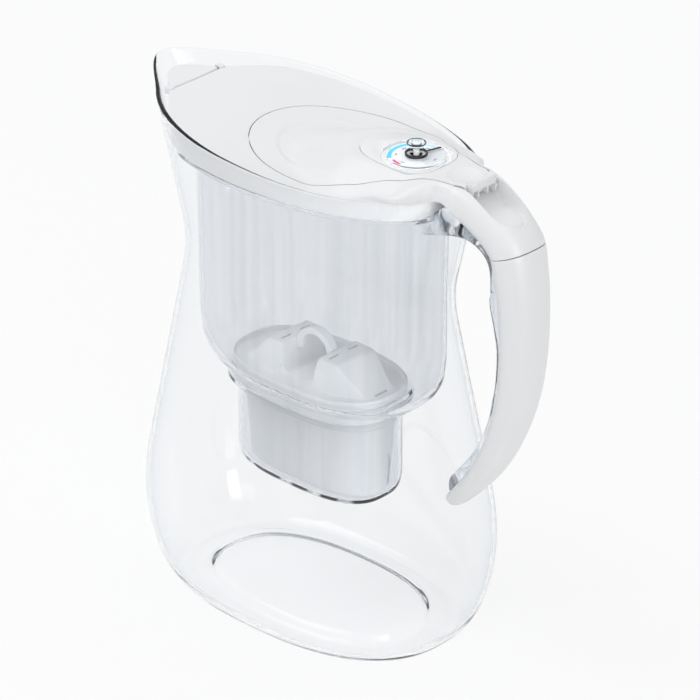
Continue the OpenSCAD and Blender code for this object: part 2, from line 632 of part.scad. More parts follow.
// One section of the skirt that hangs from the lid inside the jug's rim
function skirt_ring(t) =
    let (out_top = lid_point(t, skirt_in), in_top = lid_point(t, skirt_in + skirt_t),
         z = edge_h(out_top.x) - 1,
         out_low = level_point(t, skirt_low, lid_in), in_low = level_point(t, skirt_low, lid_in + skirt_t))
    [[out_low.x, out_low.y, skirt_low], [out_top.x, out_top.y, z],
     [in_top.x, in_top.y, z], [in_low.x, in_low.y, skirt_low]];

tail_from = 1.45;       // the station where the channel starts, inside the end of the deck
scoop_narrows = 129;    // where the scoop narrows, and where its floor rises again
scoop_rises = 131;
// The scoop's section: shares of its half width and, at each, of its depth
scoop_y = [1, 0.97, 0.88, 0.5, 0];
scoop_z = [0, 0.8, 1, 1, 1];
// One section of the tail: the white channel with the thumb scoop pressed into its back
function tail_ring(s) =
    let (thick = station(handle_line, s).z, x = station(handle_line, s).x - to_back,
         half = mix(tail_half, grip_half_top, step(s, 2, seam_at)), n = mix(5, 2.4, step(s, 1, seam_at)),
         scoop = scoop_half + 1.6*(1 - step(x, 117, 121)) - 5*step(x, scoop_narrows, scoop_narrows + 9),
         deep = scoop_depth*(1 - step(x, scoop_rises, scoop_rises + 9))*(0.92 + 0.16*step(x, 108, 118)),
         a_s = asin(pow(scoop/half, n/2)), sweep = 90 + asin(grip_edge)*step(s, 2, 5),
         side = [for (i = [0:6]) let (a = mix(sweep, a_s, i/7))
             [half*power(sin(a), n), thick*power(cos(a), n)]],
         pit = [for (i = [0:len(scoop_y) - 1]) let (y = scoop*scoop_y[i])
             [y, thick*pow(1 - pow(y/half, n), 1/n) - deep*scoop_z[i]]],
         right = concat(side, pit),
         outer = concat([for (p = right) [-p.x, p.y]], [for (i = [len(right) - 2:-1:0]) right[i]]),
         shrink = (half - cover_wall)/half,
         inner = [for (i = [len(outer) - 1:-1:0]) let (p = outer[i], y = p.x*shrink,
             at_side = i < len(side) || i > len(outer) - len(side) - 1,
             crest = (thick - cover_wall)*pow(max(0, 1 - pow(abs(y)/(half - cover_wall), n)), 1/n),
             under_pit = min(crest, thick - deep - cover_wall))
             [y, at_side ? min(under_pit, (thick - cover_wall)/thick*p.y) : under_pit]])
    [for (p = concat(outer, inner)) place(handle_line, s, p.x, p.y)];

module lid() color(white_c) difference() {
    union() {
        last = len(lid_side) - 1;
        channel(concat([for (k = [0:last]) deck_ring(k, 1)], [for (k = [last - 1:-1:0]) deck_ring(k, -1)]));
        channel([for (k = [0:2*seam_at - 3]) tail_ring(mix(tail_from, seam_at, k/(2*seam_at - 3)))]);
        for (side = [0, 1]) mirror([0, side, 0]) channel([for (t = [24:8:152]) skirt_ring(t)]);
        for (side = [0, 1]) mirror([0, side, 0])
            translate([flap_x - 1.8, flap_half + 0.5, flap_z - 1.8]) cube([flap_x_room + 1.8, 3, 4]);
    }
    translate([hinge_x, -pin_half - 0.3, hinge_z]) rotate([-90, 0, 0])
        cylinder(h = 2*pin_half + 0.6, r = hinge_r + pin_gap, $fn = 32);
    translate([flap_x, -flap_half - 3, flap_z]) rotate([-90, 0, 0])
        cylinder(h = 2*flap_half + 6, r = flap_pin_r + pin_gap, $fn = 32);
}

// ---- the hatch and the spout flap ----

hatch_rows = 8;
function slab_ring(x, half, top, t) = concat(
    [for (i = [-hatch_rows:hatch_rows]) [x, half*i/hatch_rows, top(x, half*i/hatch_rows)]],
    [for (i = [hatch_rows:-1:-hatch_rows]) [x, half*i/hatch_rows, top(x, half*i/hatch_rows) - t]]);

// The dial tray's outline: blunt towards the handle, longer towards the spout
function tray_outline(grow) = [for (i = [0:47]) let (t = i*7.5)
    oval(t, tray_front + grow, tray_rear + grow, tray_half + grow, cos(t) < 0 ? 2.4 : 3.2, tray_x)];

module hatch() color(white_c) difference() {
    a = hatch_front + hatch_mid;
    union() {
        xs = concat([for (k = [1:14]) hatch_mid - a*cos(k*90/14 - 1.5)],
                    [for (k = [1:20]) mix(hatch_mid, hinge_x - 1.9, k/20)]);
        channel([for (x = xs) slab_ring(x, hatch_half_at(x), function (x, y) lid_top(x, y), hatch_t)]);
        translate([hinge_x - 3, -lip_half, crown - 3]) cube([5, 2*lip_half, lip_h]);
        translate([hinge_x - 4, -lip_half, hinge_z - 1.5]) cube([5, 2*lip_half, 4]);
        translate([hinge_x, -knuckle_half, hinge_z]) rotate([-90, 0, 0])
            cylinder(h = 2*knuckle_half, r = hinge_r + 1.3, $fn = 32);
        translate([hinge_x, -pin_half, hinge_z]) rotate([-90, 0, 0])
            cylinder(h = 2*pin_half, r = hinge_r, $fn = 32);
    }
    translate([0, 0, tray_low]) linear_extrude(5) polygon(tray_outline(0.2));
    translate([thumb_x, 0, crown + thumb_r - thumb_deep]) sphere(r = thumb_r, $fn = 64);
}

// Half width of the flap at a distance in front of its hinge edge
function flap_half_at(d) = flap_half*pow(1 - pow(min(0.995, d/flap_len), 1.35), 0.62);

module spout_flap() color(white_c) union() {
    edge = flap_x + 0.8;
    channel([for (k = [12:-1:0]) let (d = flap_len*(1 - pow(1 - k/12, 1.5)), x = edge - d)
        slab_ring(x, flap_half_at(d), function (x, y) lid_top(x, y), flap_t)]);
    translate([flap_x, -flap_half + 0.4, flap_z]) rotate([-90, 0, 0])
        cylinder(h = 2*flap_half - 0.8, r = flap_pin_r + 0.4, $fn = 32);
    translate([flap_x, -flap_half - 2.6, flap_z]) rotate([-90, 0, 0])
        cylinder(h = 2*flap_half + 5.2, r = flap_pin_r, $fn = 32);
}

// ---- the change dial ----

module ring(z, h, outer, inner) translate([dial_x, 0, z]) difference() {
    cylinder(h = h, r = outer, $fn = 64);
    translate([0, 0, -1]) cylinder(h = h + 2, r = inner, $fn = 64);
}

module dial_tray() color(white_c) {
    difference() {
        translate([0, 0, tray_low]) linear_extrude(tray_t) polygon(tray_outline(0));
        translate([dial_x, 0, face_low]) cylinder(h = 4, r = dial_r + 0.2, $fn = 64);
    }
    translate([dial_x, 0, face_low - 0.1]) cylinder(h = knob_foot - face_low + 2.6, r = spindle_r, $fn = 32);
}

module dial_face() color("white") ring(face_low, face_t, dial_r - bezel_w - 0.1, spindle_r + 0.1);

// The clear bezel is a ring with a rounded top
module dial_bezel() color(clear_c) translate([dial_x, 0, face_low]) rotate_extrude($fn = 64)
    translate([dial_r - bezel_w, 0]) union() {
        square([bezel_w, dial_t]);
        translate([bezel_w/2, dial_t]) scale([1, 0.6]) circle(r = bezel_w/2, $fn = 24);
    }

module dial_disc() color(clear_c)
    ring(disc_low, disc_t, dial_r - bezel_w - 0.4, spindle_r + pin_gap);

module dial_pointer() color([0.08, 0.08, 0.09]) translate([dial_x, 0, knob_foot])
    rotate(pointer_turn) translate([hub_r + 0.1, -0.5, 0]) cube([dial_r - bezel_w - 1 - hub_r, 1, 0.5]);

module dial_hub() color([0.08, 0.08, 0.09]) ring(knob_foot, 1.4, hub_r, stem_r + 0.05);

module dial_knob() color(clear_c) translate([dial_x, 0, knob_foot]) rotate_extrude($fn = 48) polygon([
    [spindle_r + pin_gap, 0], [stem_r, 0], [stem_r, 2.4], [stem_r + 0.5, knob_h - 2.4],
    [knob_r - 0.8, knob_h - 1.4], [knob_r - 0.8, knob_h], [knob_r - 1.8, knob_h],
    [stem_r - 1, knob_h - 1.8], [0, knob_h - 2], [0, 2.8], [spindle_r + pin_gap, 2.8]]);

module knob_ring() color([0.08, 0.08, 0.09]) ring(knob_foot + knob_h - 1.3, 1.3, knob_r, knob_r - 0.75);

module placed() translate([-mid_x, 0, 0]) children();

placed() jug_base();
placed() jug();
placed() jug_collar();
placed() jug_rim();
placed() handle_core();
placed() handle_cover();
placed() funnel();
placed() funnel_pocket();
placed() cartridge_cup();
placed() cartridge_cap();
placed() top_fleece();
placed() granulate();
placed() bottom_strainer();
placed() lid();
placed() hatch();
placed() spout_flap();
placed() dial_tray();
placed() dial_face();
placed() dial_bezel();
placed() dial_disc();
placed() dial_pointer();
placed() dial_hub();
placed() dial_knob();
placed() knob_ring();
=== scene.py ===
# %% [markdown]
# # A water filter pitcher with a flip lid
# This lesson dresses the solids of a clear filter pitcher. On the real object a waisted jug of
# clear plastic carries a lift-out funnel, the funnel carries a cartridge, and a white lid with a
# hatch, a spout flap and a change dial closes the top. The solids are loaded as a fixed frame,
# so every new piece is made in the same place, in metres, and rides on a body of that frame.

# %% Load the frame
import json
import math
import bpy
import numpy as np
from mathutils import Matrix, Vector

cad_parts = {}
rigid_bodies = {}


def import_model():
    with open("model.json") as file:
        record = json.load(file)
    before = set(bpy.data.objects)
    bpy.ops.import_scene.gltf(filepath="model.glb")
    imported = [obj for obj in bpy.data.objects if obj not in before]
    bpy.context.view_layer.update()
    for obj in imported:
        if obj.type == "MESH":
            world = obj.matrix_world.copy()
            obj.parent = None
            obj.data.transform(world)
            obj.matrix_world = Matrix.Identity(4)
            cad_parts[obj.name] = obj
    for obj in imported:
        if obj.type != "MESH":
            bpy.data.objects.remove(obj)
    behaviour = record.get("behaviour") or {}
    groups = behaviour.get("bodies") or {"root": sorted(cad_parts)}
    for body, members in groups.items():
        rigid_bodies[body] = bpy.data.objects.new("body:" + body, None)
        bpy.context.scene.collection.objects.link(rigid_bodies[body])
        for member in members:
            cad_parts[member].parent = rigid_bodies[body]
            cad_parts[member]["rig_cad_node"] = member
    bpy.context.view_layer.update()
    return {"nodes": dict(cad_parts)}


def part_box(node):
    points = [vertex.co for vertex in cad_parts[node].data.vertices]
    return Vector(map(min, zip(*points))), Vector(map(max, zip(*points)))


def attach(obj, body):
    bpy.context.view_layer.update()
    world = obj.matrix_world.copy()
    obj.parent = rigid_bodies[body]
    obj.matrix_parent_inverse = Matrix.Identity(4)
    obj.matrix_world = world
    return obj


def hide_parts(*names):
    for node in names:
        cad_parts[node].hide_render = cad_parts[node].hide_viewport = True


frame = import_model()
nodes = frame["nodes"]
MM = 0.001

# %% [markdown]
# ## The sizes that shape the plastic
# The jug, the funnel and the lid are free forms, so a dragged or sculpted mesh would never meet
# its neighbours. The sizes below are the ones the solids were made from, in millimetres, with x
# counted from the jug's middle: minus towards the spout, plus towards the handle.

# %% Sizes of the jug
RIM_H, SPOUT_RISE, SPOUT_REACH, SPOUT_HALF = 280, 14.6, 15, 34
RIM_LEN, RIM_WID, RIM_SHIFT = 205, 121, 9
WAIST_H, WAIST_LEN, WAIST_WID = 203, 173, 97
BELLY_H, BELLY_LEN, BELLY_WID = 55, 215, 145
FOOT_LEN, FOOT_WID, JUG_WALL = 170, 104, 2.6
PUNT_LEN, PUNT_WID, PUNT_H = 133, 76, 6
RISE_FROM, HANDLE_REACH = 50, 157
SPOUT_TIP = RIM_LEN / 2 + SPOUT_REACH
MID_X = (HANDLE_REACH - SPOUT_TIP) / 2
print("spout's tip:", SPOUT_TIP, "mm in front; the frame's middle:", MID_X, "mm behind")


# %% Easing helpers
def clamp(v, low, high):
    return min(high, max(low, v))


def mix(a, b, t):
    return a + (b - a) * t


def step(v, a, b):
    t = clamp((v - a) / (b - a), 0, 1)
    return t * t * (3 - 2 * t)


def ramp(t, ease_in, ease_out):
    slope = 1 / (1 - ease_in / 2 - ease_out / 2)
    if t < ease_in:
        return slope * t * t / (2 * ease_in)
    if ease_out and t > 1 - ease_out:
        return 1 - slope * (1 - t) ** 2 / (2 * ease_out)
    return slope * (t - ease_in / 2)


def power(c, n):
    return math.copysign(abs(c) ** (2 / n), c)


def oval(angle, front, rear, half, n, mid=0.0):
    """A point of a superellipse that reaches front ahead of mid and rear behind it."""
    c, s = math.cos(angle), math.sin(angle)
    return mid + (front if c < 0 else rear) * power(c, n), half * power(s, n)


# %% The jug's skin
def body_size(h, foot, belly, waist, rim):
    if h < BELLY_H:
        return foot + (belly - foot) * (1 - (1 - h / BELLY_H) ** 1.8) ** (1 / 1.8)
    if h < WAIST_H:
        return belly + (waist - belly) * ramp((h - BELLY_H) / (WAIST_H - BELLY_H), 0.2, 0.1)
    return waist + (rim - waist) * ramp((h - WAIST_H) / (RIM_H - WAIST_H), 0.2, 0)


def half_len(h):
    return body_size(h, FOOT_LEN, BELLY_LEN, WAIST_LEN, RIM_LEN) / 2


def half_wid(h):
    return body_size(h, FOOT_WID, BELLY_WID, WAIST_WID, RIM_WID) / 2


def squareness(h):
    return mix(2.4, 2.1, h / RIM_H)


def above_waist(h):
    return max(0, (h - WAIST_H) / (RIM_H - WAIST_H))


def rise(x):
    return SPOUT_RISE * max(0, (RISE_FROM - x) / (RISE_FROM + SPOUT_TIP)) ** 1.5


def jug_point(angle, h, inset):
    """A point of the jug's skin at the nominal height h, set in from the outside."""
    length, width, f = half_len(h) - inset, half_wid(h) - inset, above_waist(h)
    mid = -RIM_SHIFT * f
    x, y = oval(angle, length + mid, length - mid, width, squareness(h), mid)
    if math.cos(angle) < 0:
        x -= SPOUT_REACH * f * f * (1 - step(abs(y), 0, SPOUT_HALF))
    return x, y, h + rise(x) * f


def level_point(angle, z, inset):
    """A point of the jug's skin at a true height, allowing for the slope of the rim."""
    p = jug_point(angle, z, inset)
    q = jug_point(angle, 2 * z - p[2], inset)
    r = jug_point(angle, 2 * z - p[2] - (q[2] - z), inset)
    return r[0], r[1], z


print("half length at the waist:", half_len(WAIST_H), "and at the rim:", half_len(RIM_H))

# %% [markdown]
# ## A helper that wraps a sheet
# A moulded wall is one sheet that runs up the outside, over the edge and down the inside. So
# each moulding starts as a grid primitive: its columns are laid round the object and its rows
# along the wall's section. The seam is then merged, the ends are closed and the normals are
# turned outwards, all with edit-mode operators.


# %% Select, clean and close a mesh
def nothing_selected():
    if bpy.context.object and bpy.context.object.mode != "OBJECT":
        bpy.ops.object.mode_set(mode="OBJECT")
    bpy.ops.object.select_all(action="DESELECT")


def only(obj):
    nothing_selected()
    obj.select_set(True)
    bpy.context.view_layer.objects.active = obj


def tidy_mesh(obj):
    """Merges doubles, drops slivers and turns the faces outwards."""
    only(obj)
    bpy.ops.object.mode_set(mode="EDIT")
    bpy.ops.mesh.select_all(action="SELECT")
    bpy.ops.mesh.remove_doubles(threshold=0.00001)
    bpy.ops.mesh.dissolve_degenerate(threshold=0.00001)
    bpy.ops.mesh.select_all(action="SELECT")
    bpy.ops.mesh.normals_make_consistent(inside=False)
    bpy.ops.object.mode_set(mode="OBJECT")


def close_ends(obj):
    """Fills the open loops at the two ends of a wrapped sheet."""
    only(obj)
    bpy.ops.object.mode_set(mode="EDIT")
    bpy.ops.mesh.select_all(action="DESELECT")
    bpy.ops.mesh.select_mode(type="EDGE")
    bpy.ops.mesh.select_non_manifold(extend=False, use_wire=False, use_boundary=True,
                                     use_multi_face=False, use_non_contiguous=False, use_verts=False)
    bpy.ops.mesh.fill_holes(sides=0)
    bpy.ops.mesh.select_mode(type="VERT")
    bpy.ops.object.mode_set(mode="OBJECT")


def smooth(obj, degrees=35):
    only(obj)
    bpy.ops.object.shade_smooth_by_angle(angle=math.radians(degrees), keep_sharp_edges=False)


# %% Wrap a grid round a stack of rings
def named(name):
    """The primitive just made, with a name for the object and its mesh."""
    obj = bpy.context.object
    obj.name = obj.data.name = name
    return obj


def wrapped(name, rings, degrees=35, ends=True):
    """One closed solid over a stack of closed rings of points, given in millimetres."""
    rings = np.asarray(rings, float)
    rows, columns = rings.shape[:2]
    nothing_selected()
    bpy.ops.mesh.primitive_grid_add(x_subdivisions=columns, y_subdivisions=rows - 1, size=1)
    obj = named(name)
    sheet = np.concatenate([rings, rings[:, :1]], axis=1).reshape(-1, 3)
    sheet = (sheet - (MID_X, 0, 0)) * MM
    obj.data.vertices.foreach_set("co", sheet.ravel())
    obj.data.update()
    tidy_mesh(obj)
    if ends:
        close_ends(obj)
        tidy_mesh(obj)
    smooth(obj, degrees)
    return obj


# %% Rings, and the radius where a section turns a corner
def rounded(rings, radius, times=2):
    """Cuts the corners of a stack of rings, as a mould's edges are radiused."""
    rings = [np.asarray(r, float) for r in rings]
    for _ in range(times):
        new = [rings[0]]
        for before, here, after in zip(rings, rings[1:], rings[2:]):
            back, on = before - here, after - here
            b = np.linalg.norm(back, axis=1, keepdims=True) + 1e-9
            o = np.linalg.norm(on, axis=1, keepdims=True) + 1e-9
            new += [here + back / b * np.minimum(radius, b * 0.33),
                    here + on / o * np.minimum(radius, o * 0.33)]
        rings = new + [rings[-1]]
        radius *= 0.4
    return rings


def angles(count):
    return [2 * math.pi * i / count for i in range(count)]


def flat_ring(length, width, z, n, count=168, mid=0.0):
    return [(*oval(a, length / 2, length / 2, width / 2, n, mid), z) for a in angles(count)]


# %% Hand a finished piece over
def done(obj, body, *stands_for):
    """A finished piece rides on its body and stands for its solids."""
    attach(obj, body)
    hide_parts(*stands_for)
    faces = len(obj.data.polygons)
    print(obj.name, "faces:", faces, "rides on:", body)
    return obj


# %% [markdown]
# ## The jug
# The real jug is one injection moulding of clear plastic, 2.6 mm thick, with a raised panel in
# its base so that it stands on a ring. Its section is wrapped round in 168 columns: the panel,
# the foot, the outside, the rounded rim, the inside and the floor.

# %% The heights at which the jug's wall gets a ring
AROUND, BELLY_TOP, RIM_ROUND, FLOOR_CORNER_H = 168, WAIST_H - 9, 0.7, 13
heights = [BELLY_H * (1 - math.cos(math.radians(k * 3)) ** 1.6) for k in range(1, 31)]
heights += [mix(BELLY_H, BELLY_TOP, k / 26) for k in range(1, 27)]
heights += [mix(BELLY_TOP, RIM_H - RIM_ROUND, k / 26) for k in range(1, 26)]
print("rings up the wall:", len(heights))


# %% Model the jug
def jug_ring(h, inset):
    return [jug_point(a, h, inset) for a in angles(AROUND)]


def punt_ring(grow, z):
    return flat_ring(PUNT_LEN + grow, PUNT_WID + grow, z, squareness(0))


def foot_ring(grow, z):
    return flat_ring(FOOT_LEN + grow, FOOT_WID + grow, z, squareness(0))


def middle_ring(z):
    return flat_ring(4, 2, z, squareness(0))


base = rounded([middle_ring(PUNT_H), punt_ring(-8, PUNT_H), punt_ring(0, PUNT_H - 0.8),
                punt_ring(5, 0), foot_ring(0, 0)], 1.6)
rim = [jug_ring(RIM_H - RIM_ROUND * (1 - math.sin(a)), JUG_WALL / 2 * (1 - math.cos(a)))
       for a in [math.pi * k / 8 for k in range(9)]]
inside = [jug_ring(h, JUG_WALL) for h in reversed(heights) if h > FLOOR_CORNER_H]
floor_rings = rounded([
    inside[-1], foot_ring(4, JUG_WALL), punt_ring(9, JUG_WALL), punt_ring(4, PUNT_H - 0.8 + JUG_WALL),
    punt_ring(-4, PUNT_H + JUG_WALL), middle_ring(PUNT_H + JUG_WALL)], 2.4)
jug = wrapped("clear_jug", base + [jug_ring(h, 0) for h in heights] + rim + inside + floor_rings[1:])
done(jug, "jug_body", "jug_base", "jug", "jug_collar", "jug_rim")

# %% [markdown]
# ## The funnel
# The funnel hangs in the jug by a thin flange. It is a clear tub with a flat front wall, which
# leaves the pouring channel free, and a pocket below for the cartridge. It is wrapped round like
# the jug, and the corners of its section are radiused, because a mould has no sharp corners.

# %% Sizes of the funnel and the cartridge
FUNNEL_WALL, END_ROOM, SIDE_ROOM = 2, 6.4, 2.9
FUNNEL_LEN = WAIST_LEN - 2 * JUG_WALL - 2 * END_ROOM
FUNNEL_WID = WAIST_WID - 2 * JUG_WALL - 2 * SIDE_ROOM
FUNNEL_FLOOR_H, FLANGE_H, FLANGE_T, FLANGE_GAP = 150, RIM_H - 12, 3.2, 0.4
CHANNEL_X, FUNNEL_X, CART_X = 66, 2.5, 0.5
CART_LEN, CART_WID, CART_TOP_H = 106, 62.4, 144
CAP_SKIRT, CUP_DEPTH, CART_GAP = 14, 50, 0.4
CART_N = 2.76
SEAT_H = CART_TOP_H - CAP_SKIRT
SEAT_LEN, SEAT_WID = CART_LEN + 2 * CART_GAP, CART_WID + 2 * CART_GAP
HOUSE_LEN, HOUSE_WID, HOUSE_LOW = CART_LEN - 9, CART_WID - 10.4, SEAT_H - CUP_DEPTH - 0.8
print("funnel:", FUNNEL_LEN, "by", FUNNEL_WID, "mm; cartridge:", CART_LEN, "by", CART_WID, "mm")


# %% Rings of the funnel, each grown by some millimetres
def front_edge(y):
    return -CHANNEL_X + 4 - 8 * (1 - (y / FUNNEL_WID * 2) ** 2)


def flange(inset, z):
    points = [level_point(a, z, JUG_WALL + FLANGE_GAP + inset) for a in angles(AROUND)]
    return [(max(x, front_edge(y) + inset), y, z) for x, y, z in points]


def tub(longer, wider, z):
    length, width = FUNNEL_LEN + longer, FUNNEL_WID + wider
    points = [oval(a, length / 2, length / 2, width / 2, 2.4, FUNNEL_X) for a in angles(AROUND)]
    return [(max(x, front_edge(y) + (FUNNEL_LEN - length) / 2 + 1), y, z) for x, y in points]


def cart_ring(length, width, z):
    return flat_ring(length, width, z, CART_N, AROUND, CART_X)


def seat(grow, z):
    return cart_ring(SEAT_LEN + grow, SEAT_WID + grow, z)


def house(grow, z):
    return cart_ring(HOUSE_LEN + grow, HOUSE_WID + grow, z)


print("the pocket for the cartridge:", round(SEAT_LEN, 1), "by", round(SEAT_WID, 1), "mm")

# %% Model the funnel
W = 2 * FUNNEL_WALL
outside = [
    cart_ring(4, 2, HOUSE_LOW - FUNNEL_WALL), house(W - 14, HOUSE_LOW - FUNNEL_WALL),
    house(W - 6, HOUSE_LOW - FUNNEL_WALL + 1.2), house(W - 2, HOUSE_LOW + 2.4), house(W, HOUSE_LOW + 9),
    house(W, SEAT_H - 5), seat(W, SEAT_H - 1), seat(W, CART_TOP_H - 8), tub(-22, -10, CART_TOP_H - 4),
    tub(-9, -4.5, FUNNEL_FLOOR_H - 3.5), tub(-3, -1.5, FUNNEL_FLOOR_H + 3), tub(0, 0, FUNNEL_FLOOR_H + 16),
    tub(0, 0, WAIST_H), tub(2, 1, FLANGE_H - 20), tub(2, 1, FLANGE_H - FLANGE_T - 2.5),
    flange(0.6, FLANGE_H - FLANGE_T), flange(0, FLANGE_H - FLANGE_T + 0.6), flange(0, FLANGE_H - 0.6)]
inner_side = [
    flange(0.6, FLANGE_H), tub(4 - W, 3 - W, FLANGE_H), tub(2 - W, 1 - W, FLANGE_H - 1.5),
    tub(2 - W, 1 - W, FLANGE_H - 20), tub(-W, -W, WAIST_H), tub(-W, -W, FUNNEL_FLOOR_H + 16),
    tub(-3 - W, -1.5 - W, FUNNEL_FLOOR_H + 4.5), tub(-9 - W, -4.5 - W, FUNNEL_FLOOR_H - 1),
    tub(-22 - W, -10 - W, CART_TOP_H - 2), seat(3, CART_TOP_H - 3), seat(0, CART_TOP_H - 6), seat(0, SEAT_H),
    house(0, SEAT_H), house(0, HOUSE_LOW + 9), house(-2, HOUSE_LOW + 3.4), house(-6, HOUSE_LOW + 1),
    house(-12, HOUSE_LOW), cart_ring(4, 2, HOUSE_LOW)]
funnel = wrapped("clear_funnel", rounded(outside + inner_side, 1.5))
print("rings of the funnel's section, before its corners are cut:", len(outside + inner_side))

# %% [markdown]
# The filtered water leaves the pocket through three round holes under the cartridge. A hole is
# quickest cut by a cylinder primitive and a Boolean modifier, which is then applied.


# %% Cut and join solids
def apply_all(obj):
    only(obj)
    for modifier in list(obj.modifiers):
        bpy.ops.object.modifier_apply(modifier=modifier.name)


def boolean(obj, operation, others):
    """Works the other solids into the first one by one, and removes them."""
    for other in others:
        change = obj.modifiers.new("solid", "BOOLEAN")
        change.operation, change.object, change.solver = operation, other, "MANIFOLD"
        apply_all(obj)
        bpy.data.objects.remove(other)


def carve(obj, *cutters):
    boolean(obj, "DIFFERENCE", cutters)


def join(obj, *others):
    boolean(obj, "UNION", others)


# %% Rods and blocks
def at(x, y, z):
    """A place in the frame, from millimetres counted from the jug's middle."""
    return ((x - MID_X) * MM, y * MM, z * MM)


def rod(name, place, radius, depth, turn=(0, 0, 0), vertices=48):
    nothing_selected()
    bpy.ops.mesh.primitive_cylinder_add(vertices=vertices, radius=radius * MM, depth=depth * MM,
                                        location=at(*place), rotation=turn)
    bpy.ops.object.transform_apply()
    return named(name)


def block(name, low_corner, high_corner):
    nothing_selected()
    middle = [(a + b) / 2 for a, b in zip(low_corner, high_corner)]
    bpy.ops.mesh.primitive_cube_add(size=1, location=at(*middle))
    bpy.context.object.scale = [(b - a) * MM for a, b in zip(low_corner, high_corner)]
    bpy.ops.object.transform_apply()
    return named(name)


# %% Cut the drain holes
carve(funnel, *[rod("drain_cutter", (CART_X + x, 0, HOUSE_LOW - 1), 4.5, 6) for x in (-20, 0, 20)])
smooth(funnel)
done(funnel, "funnel_body", "funnel", "funnel_pocket")

# %% [markdown]
# ## The handle
# A clear core grows out of the jug's wall in a flared bracket, follows the hand and joins the
# wall again above the belly. A white cover is clipped over its back. Both follow one centre line
# each, so they are swept: a ring is placed at each station of the line, square to it. A station is
# x, height and half thickness, and for the core also half width.

# %% The centre lines
HANDLE_LINE = [(92, 282.3, 9), (100, 282.3, 9), (108, 282.3, 9), (115, 280.6, 9.6), (121.5, 277.6, 10.6),
               (129.5, 272.6, 11.5), (136.6, 266.4, 11.8), (140.9, 260.5, 11.9), (143.4, 248.7, 11.6),
               (145.3, 235, 11.2), (146.4, 212, 10.4), (145, 188, 9.4), (141.7, 170, 8.6), (136, 152, 7.8),
               (128.4, 135, 7), (119.8, 121.2, 6.3), (110.9, 110, 5.6), (104.5, 102.6, 5)]
CORE_LINE = [(86, 267.5, 10.5, 28), (91, 267.5, 10.3, 25), (97, 267.5, 10, 19.5), (105, 267.3, 9, 14),
             (114, 266, 8, 11), (123, 262, 7.6, 9.4), (130.5, 255.5, 8.6, 8.4), (135.5, 246.5, 11, 8),
             (138.6, 234, 13.6, 8), (139.2, 227, 14.6, 8), (140.6, 216, 13.2, 8), (141.8, 201, 11.4, 8),
             (140.4, 183, 10.4, 7.8), (137.8, 170.7, 9.6, 7.6), (133.6, 156, 8.4, 7.4),
             (127.5, 142, 7.6, 7.2), (119.8, 128.6, 7, 7), (110, 116, 6.6, 6.8), (98, 102.5, 6.4, 6.6)]
SEAM_AT, SEAM_GAP, GRIP_EDGE, COVER_GAP = 7, 0.4, 0.7, 0.3
GRIP_HALF_TOP, GRIP_HALF_LOW, COVER_WALL = 16, 11.5, 2.4


def bend(line, i, t):
    a, b, c, d = (np.array(line[clamp(k, 0, len(line) - 1)], float) for k in (i - 1, i, i + 1, i + 2))
    return 0.5 * (2 * b + (c - a) * t + (2 * a - 5 * b + 4 * c - d) * t * t
                  + (3 * b - a - 3 * c + d) * t ** 3)


def station(line, s):
    i = min(int(s), len(line) - 2)
    return bend(line, i, s - i)


def outward(line, s):
    i = min(int(s), len(line) - 2)
    d = bend(line, i, s - i + 0.02) - bend(line, i, s - i - 0.02)
    return -d[1] / math.hypot(d[0], d[1]), d[0] / math.hypot(d[0], d[1])


def place(line, s, across, out):
    c, n = station(line, s), outward(line, s)
    return c[0] + n[0] * out, across, c[1] + n[1] * out


print("handle stations:", len(HANDLE_LINE), "core stations:", len(CORE_LINE))


# %% Model the clear core
def core_ring(s):
    c = station(CORE_LINE, s)
    return [place(CORE_LINE, s, c[3] * power(math.cos(a), 2.6), c[2] * power(math.sin(a), 2.6))
            for a in angles(56)]


core = wrapped("clear_handle_core", [core_ring(k / 5) for k in range(5 * (len(CORE_LINE) - 1) + 1)], 40)
upper = [jug_ring(mix(WAIST_H, RIM_H, f), -COVER_GAP) for f in (0.25, 0.4, 0.55, 0.7, 0.85, 0.99)]
upper.append([(x, y, z + 9) for x, y, z in upper[-1]])
lower = [jug_ring(mix(BELLY_H, BELLY_TOP, k / 32 - 1 / 4), -COVER_GAP) for k in range(12, 29, 2)]
carve(core, wrapped("jug_cutter", upper), wrapped("jug_cutter", lower))
smooth(core, 40)
done(core, "jug_body", "handle_core")


# %% Model the white cover
def arch(s, half, wall, count, n):
    thick = station(HANDLE_LINE, s)[2]
    sweep = math.pi / 2 + math.asin(GRIP_EDGE)
    turn = [mix(-sweep, sweep, i / (count - 1)) for i in range(count)]
    return [place(HANDLE_LINE, s, (half - t) * power(math.sin(a), n), (thick - t) * power(math.cos(a), n))
            for t, sweep_of in ((0, turn), (wall, turn[::-1])) for a in sweep_of]


last = len(HANDLE_LINE) - 1
first = SEAM_AT + SEAM_GAP / math.dist(HANDLE_LINE[SEAM_AT + 1], HANDLE_LINE[SEAM_AT])
cover = wrapped("white_handle_cover", [
    arch(s, mix(GRIP_HALF_TOP, GRIP_HALF_LOW, (s - SEAM_AT) / (last - SEAM_AT)), COVER_WALL, 45, 2.4)
    for s in [mix(first, last, k / 70) for k in range(71)]], 40)


def soften_edges(obj, width, segments=2, degrees=50):
    """A small moulded radius on every edge sharper than the angle."""
    bevel = obj.modifiers.new("moulded_radius", "BEVEL")
    bevel.width, bevel.segments = width * MM, segments
    bevel.limit_method, bevel.angle_limit = "ANGLE", math.radians(degrees)
    bevel.use_clamp_overlap = True
    apply_all(obj)
    smooth(obj, degrees)


soften_edges(cover, 0.5, 3, 40)
done(cover, "jug_body", "handle_cover")

# %% [markdown]
# ## The lid
# The lid is one white moulding: a deck that dips towards the front and swells up to the dial, a
# skirt inside the jug, and a tail that runs over the handle with a thumb scoop pressed into it.
# One height function gives the top of the deck, the hatch and the flap, so they meet flush.

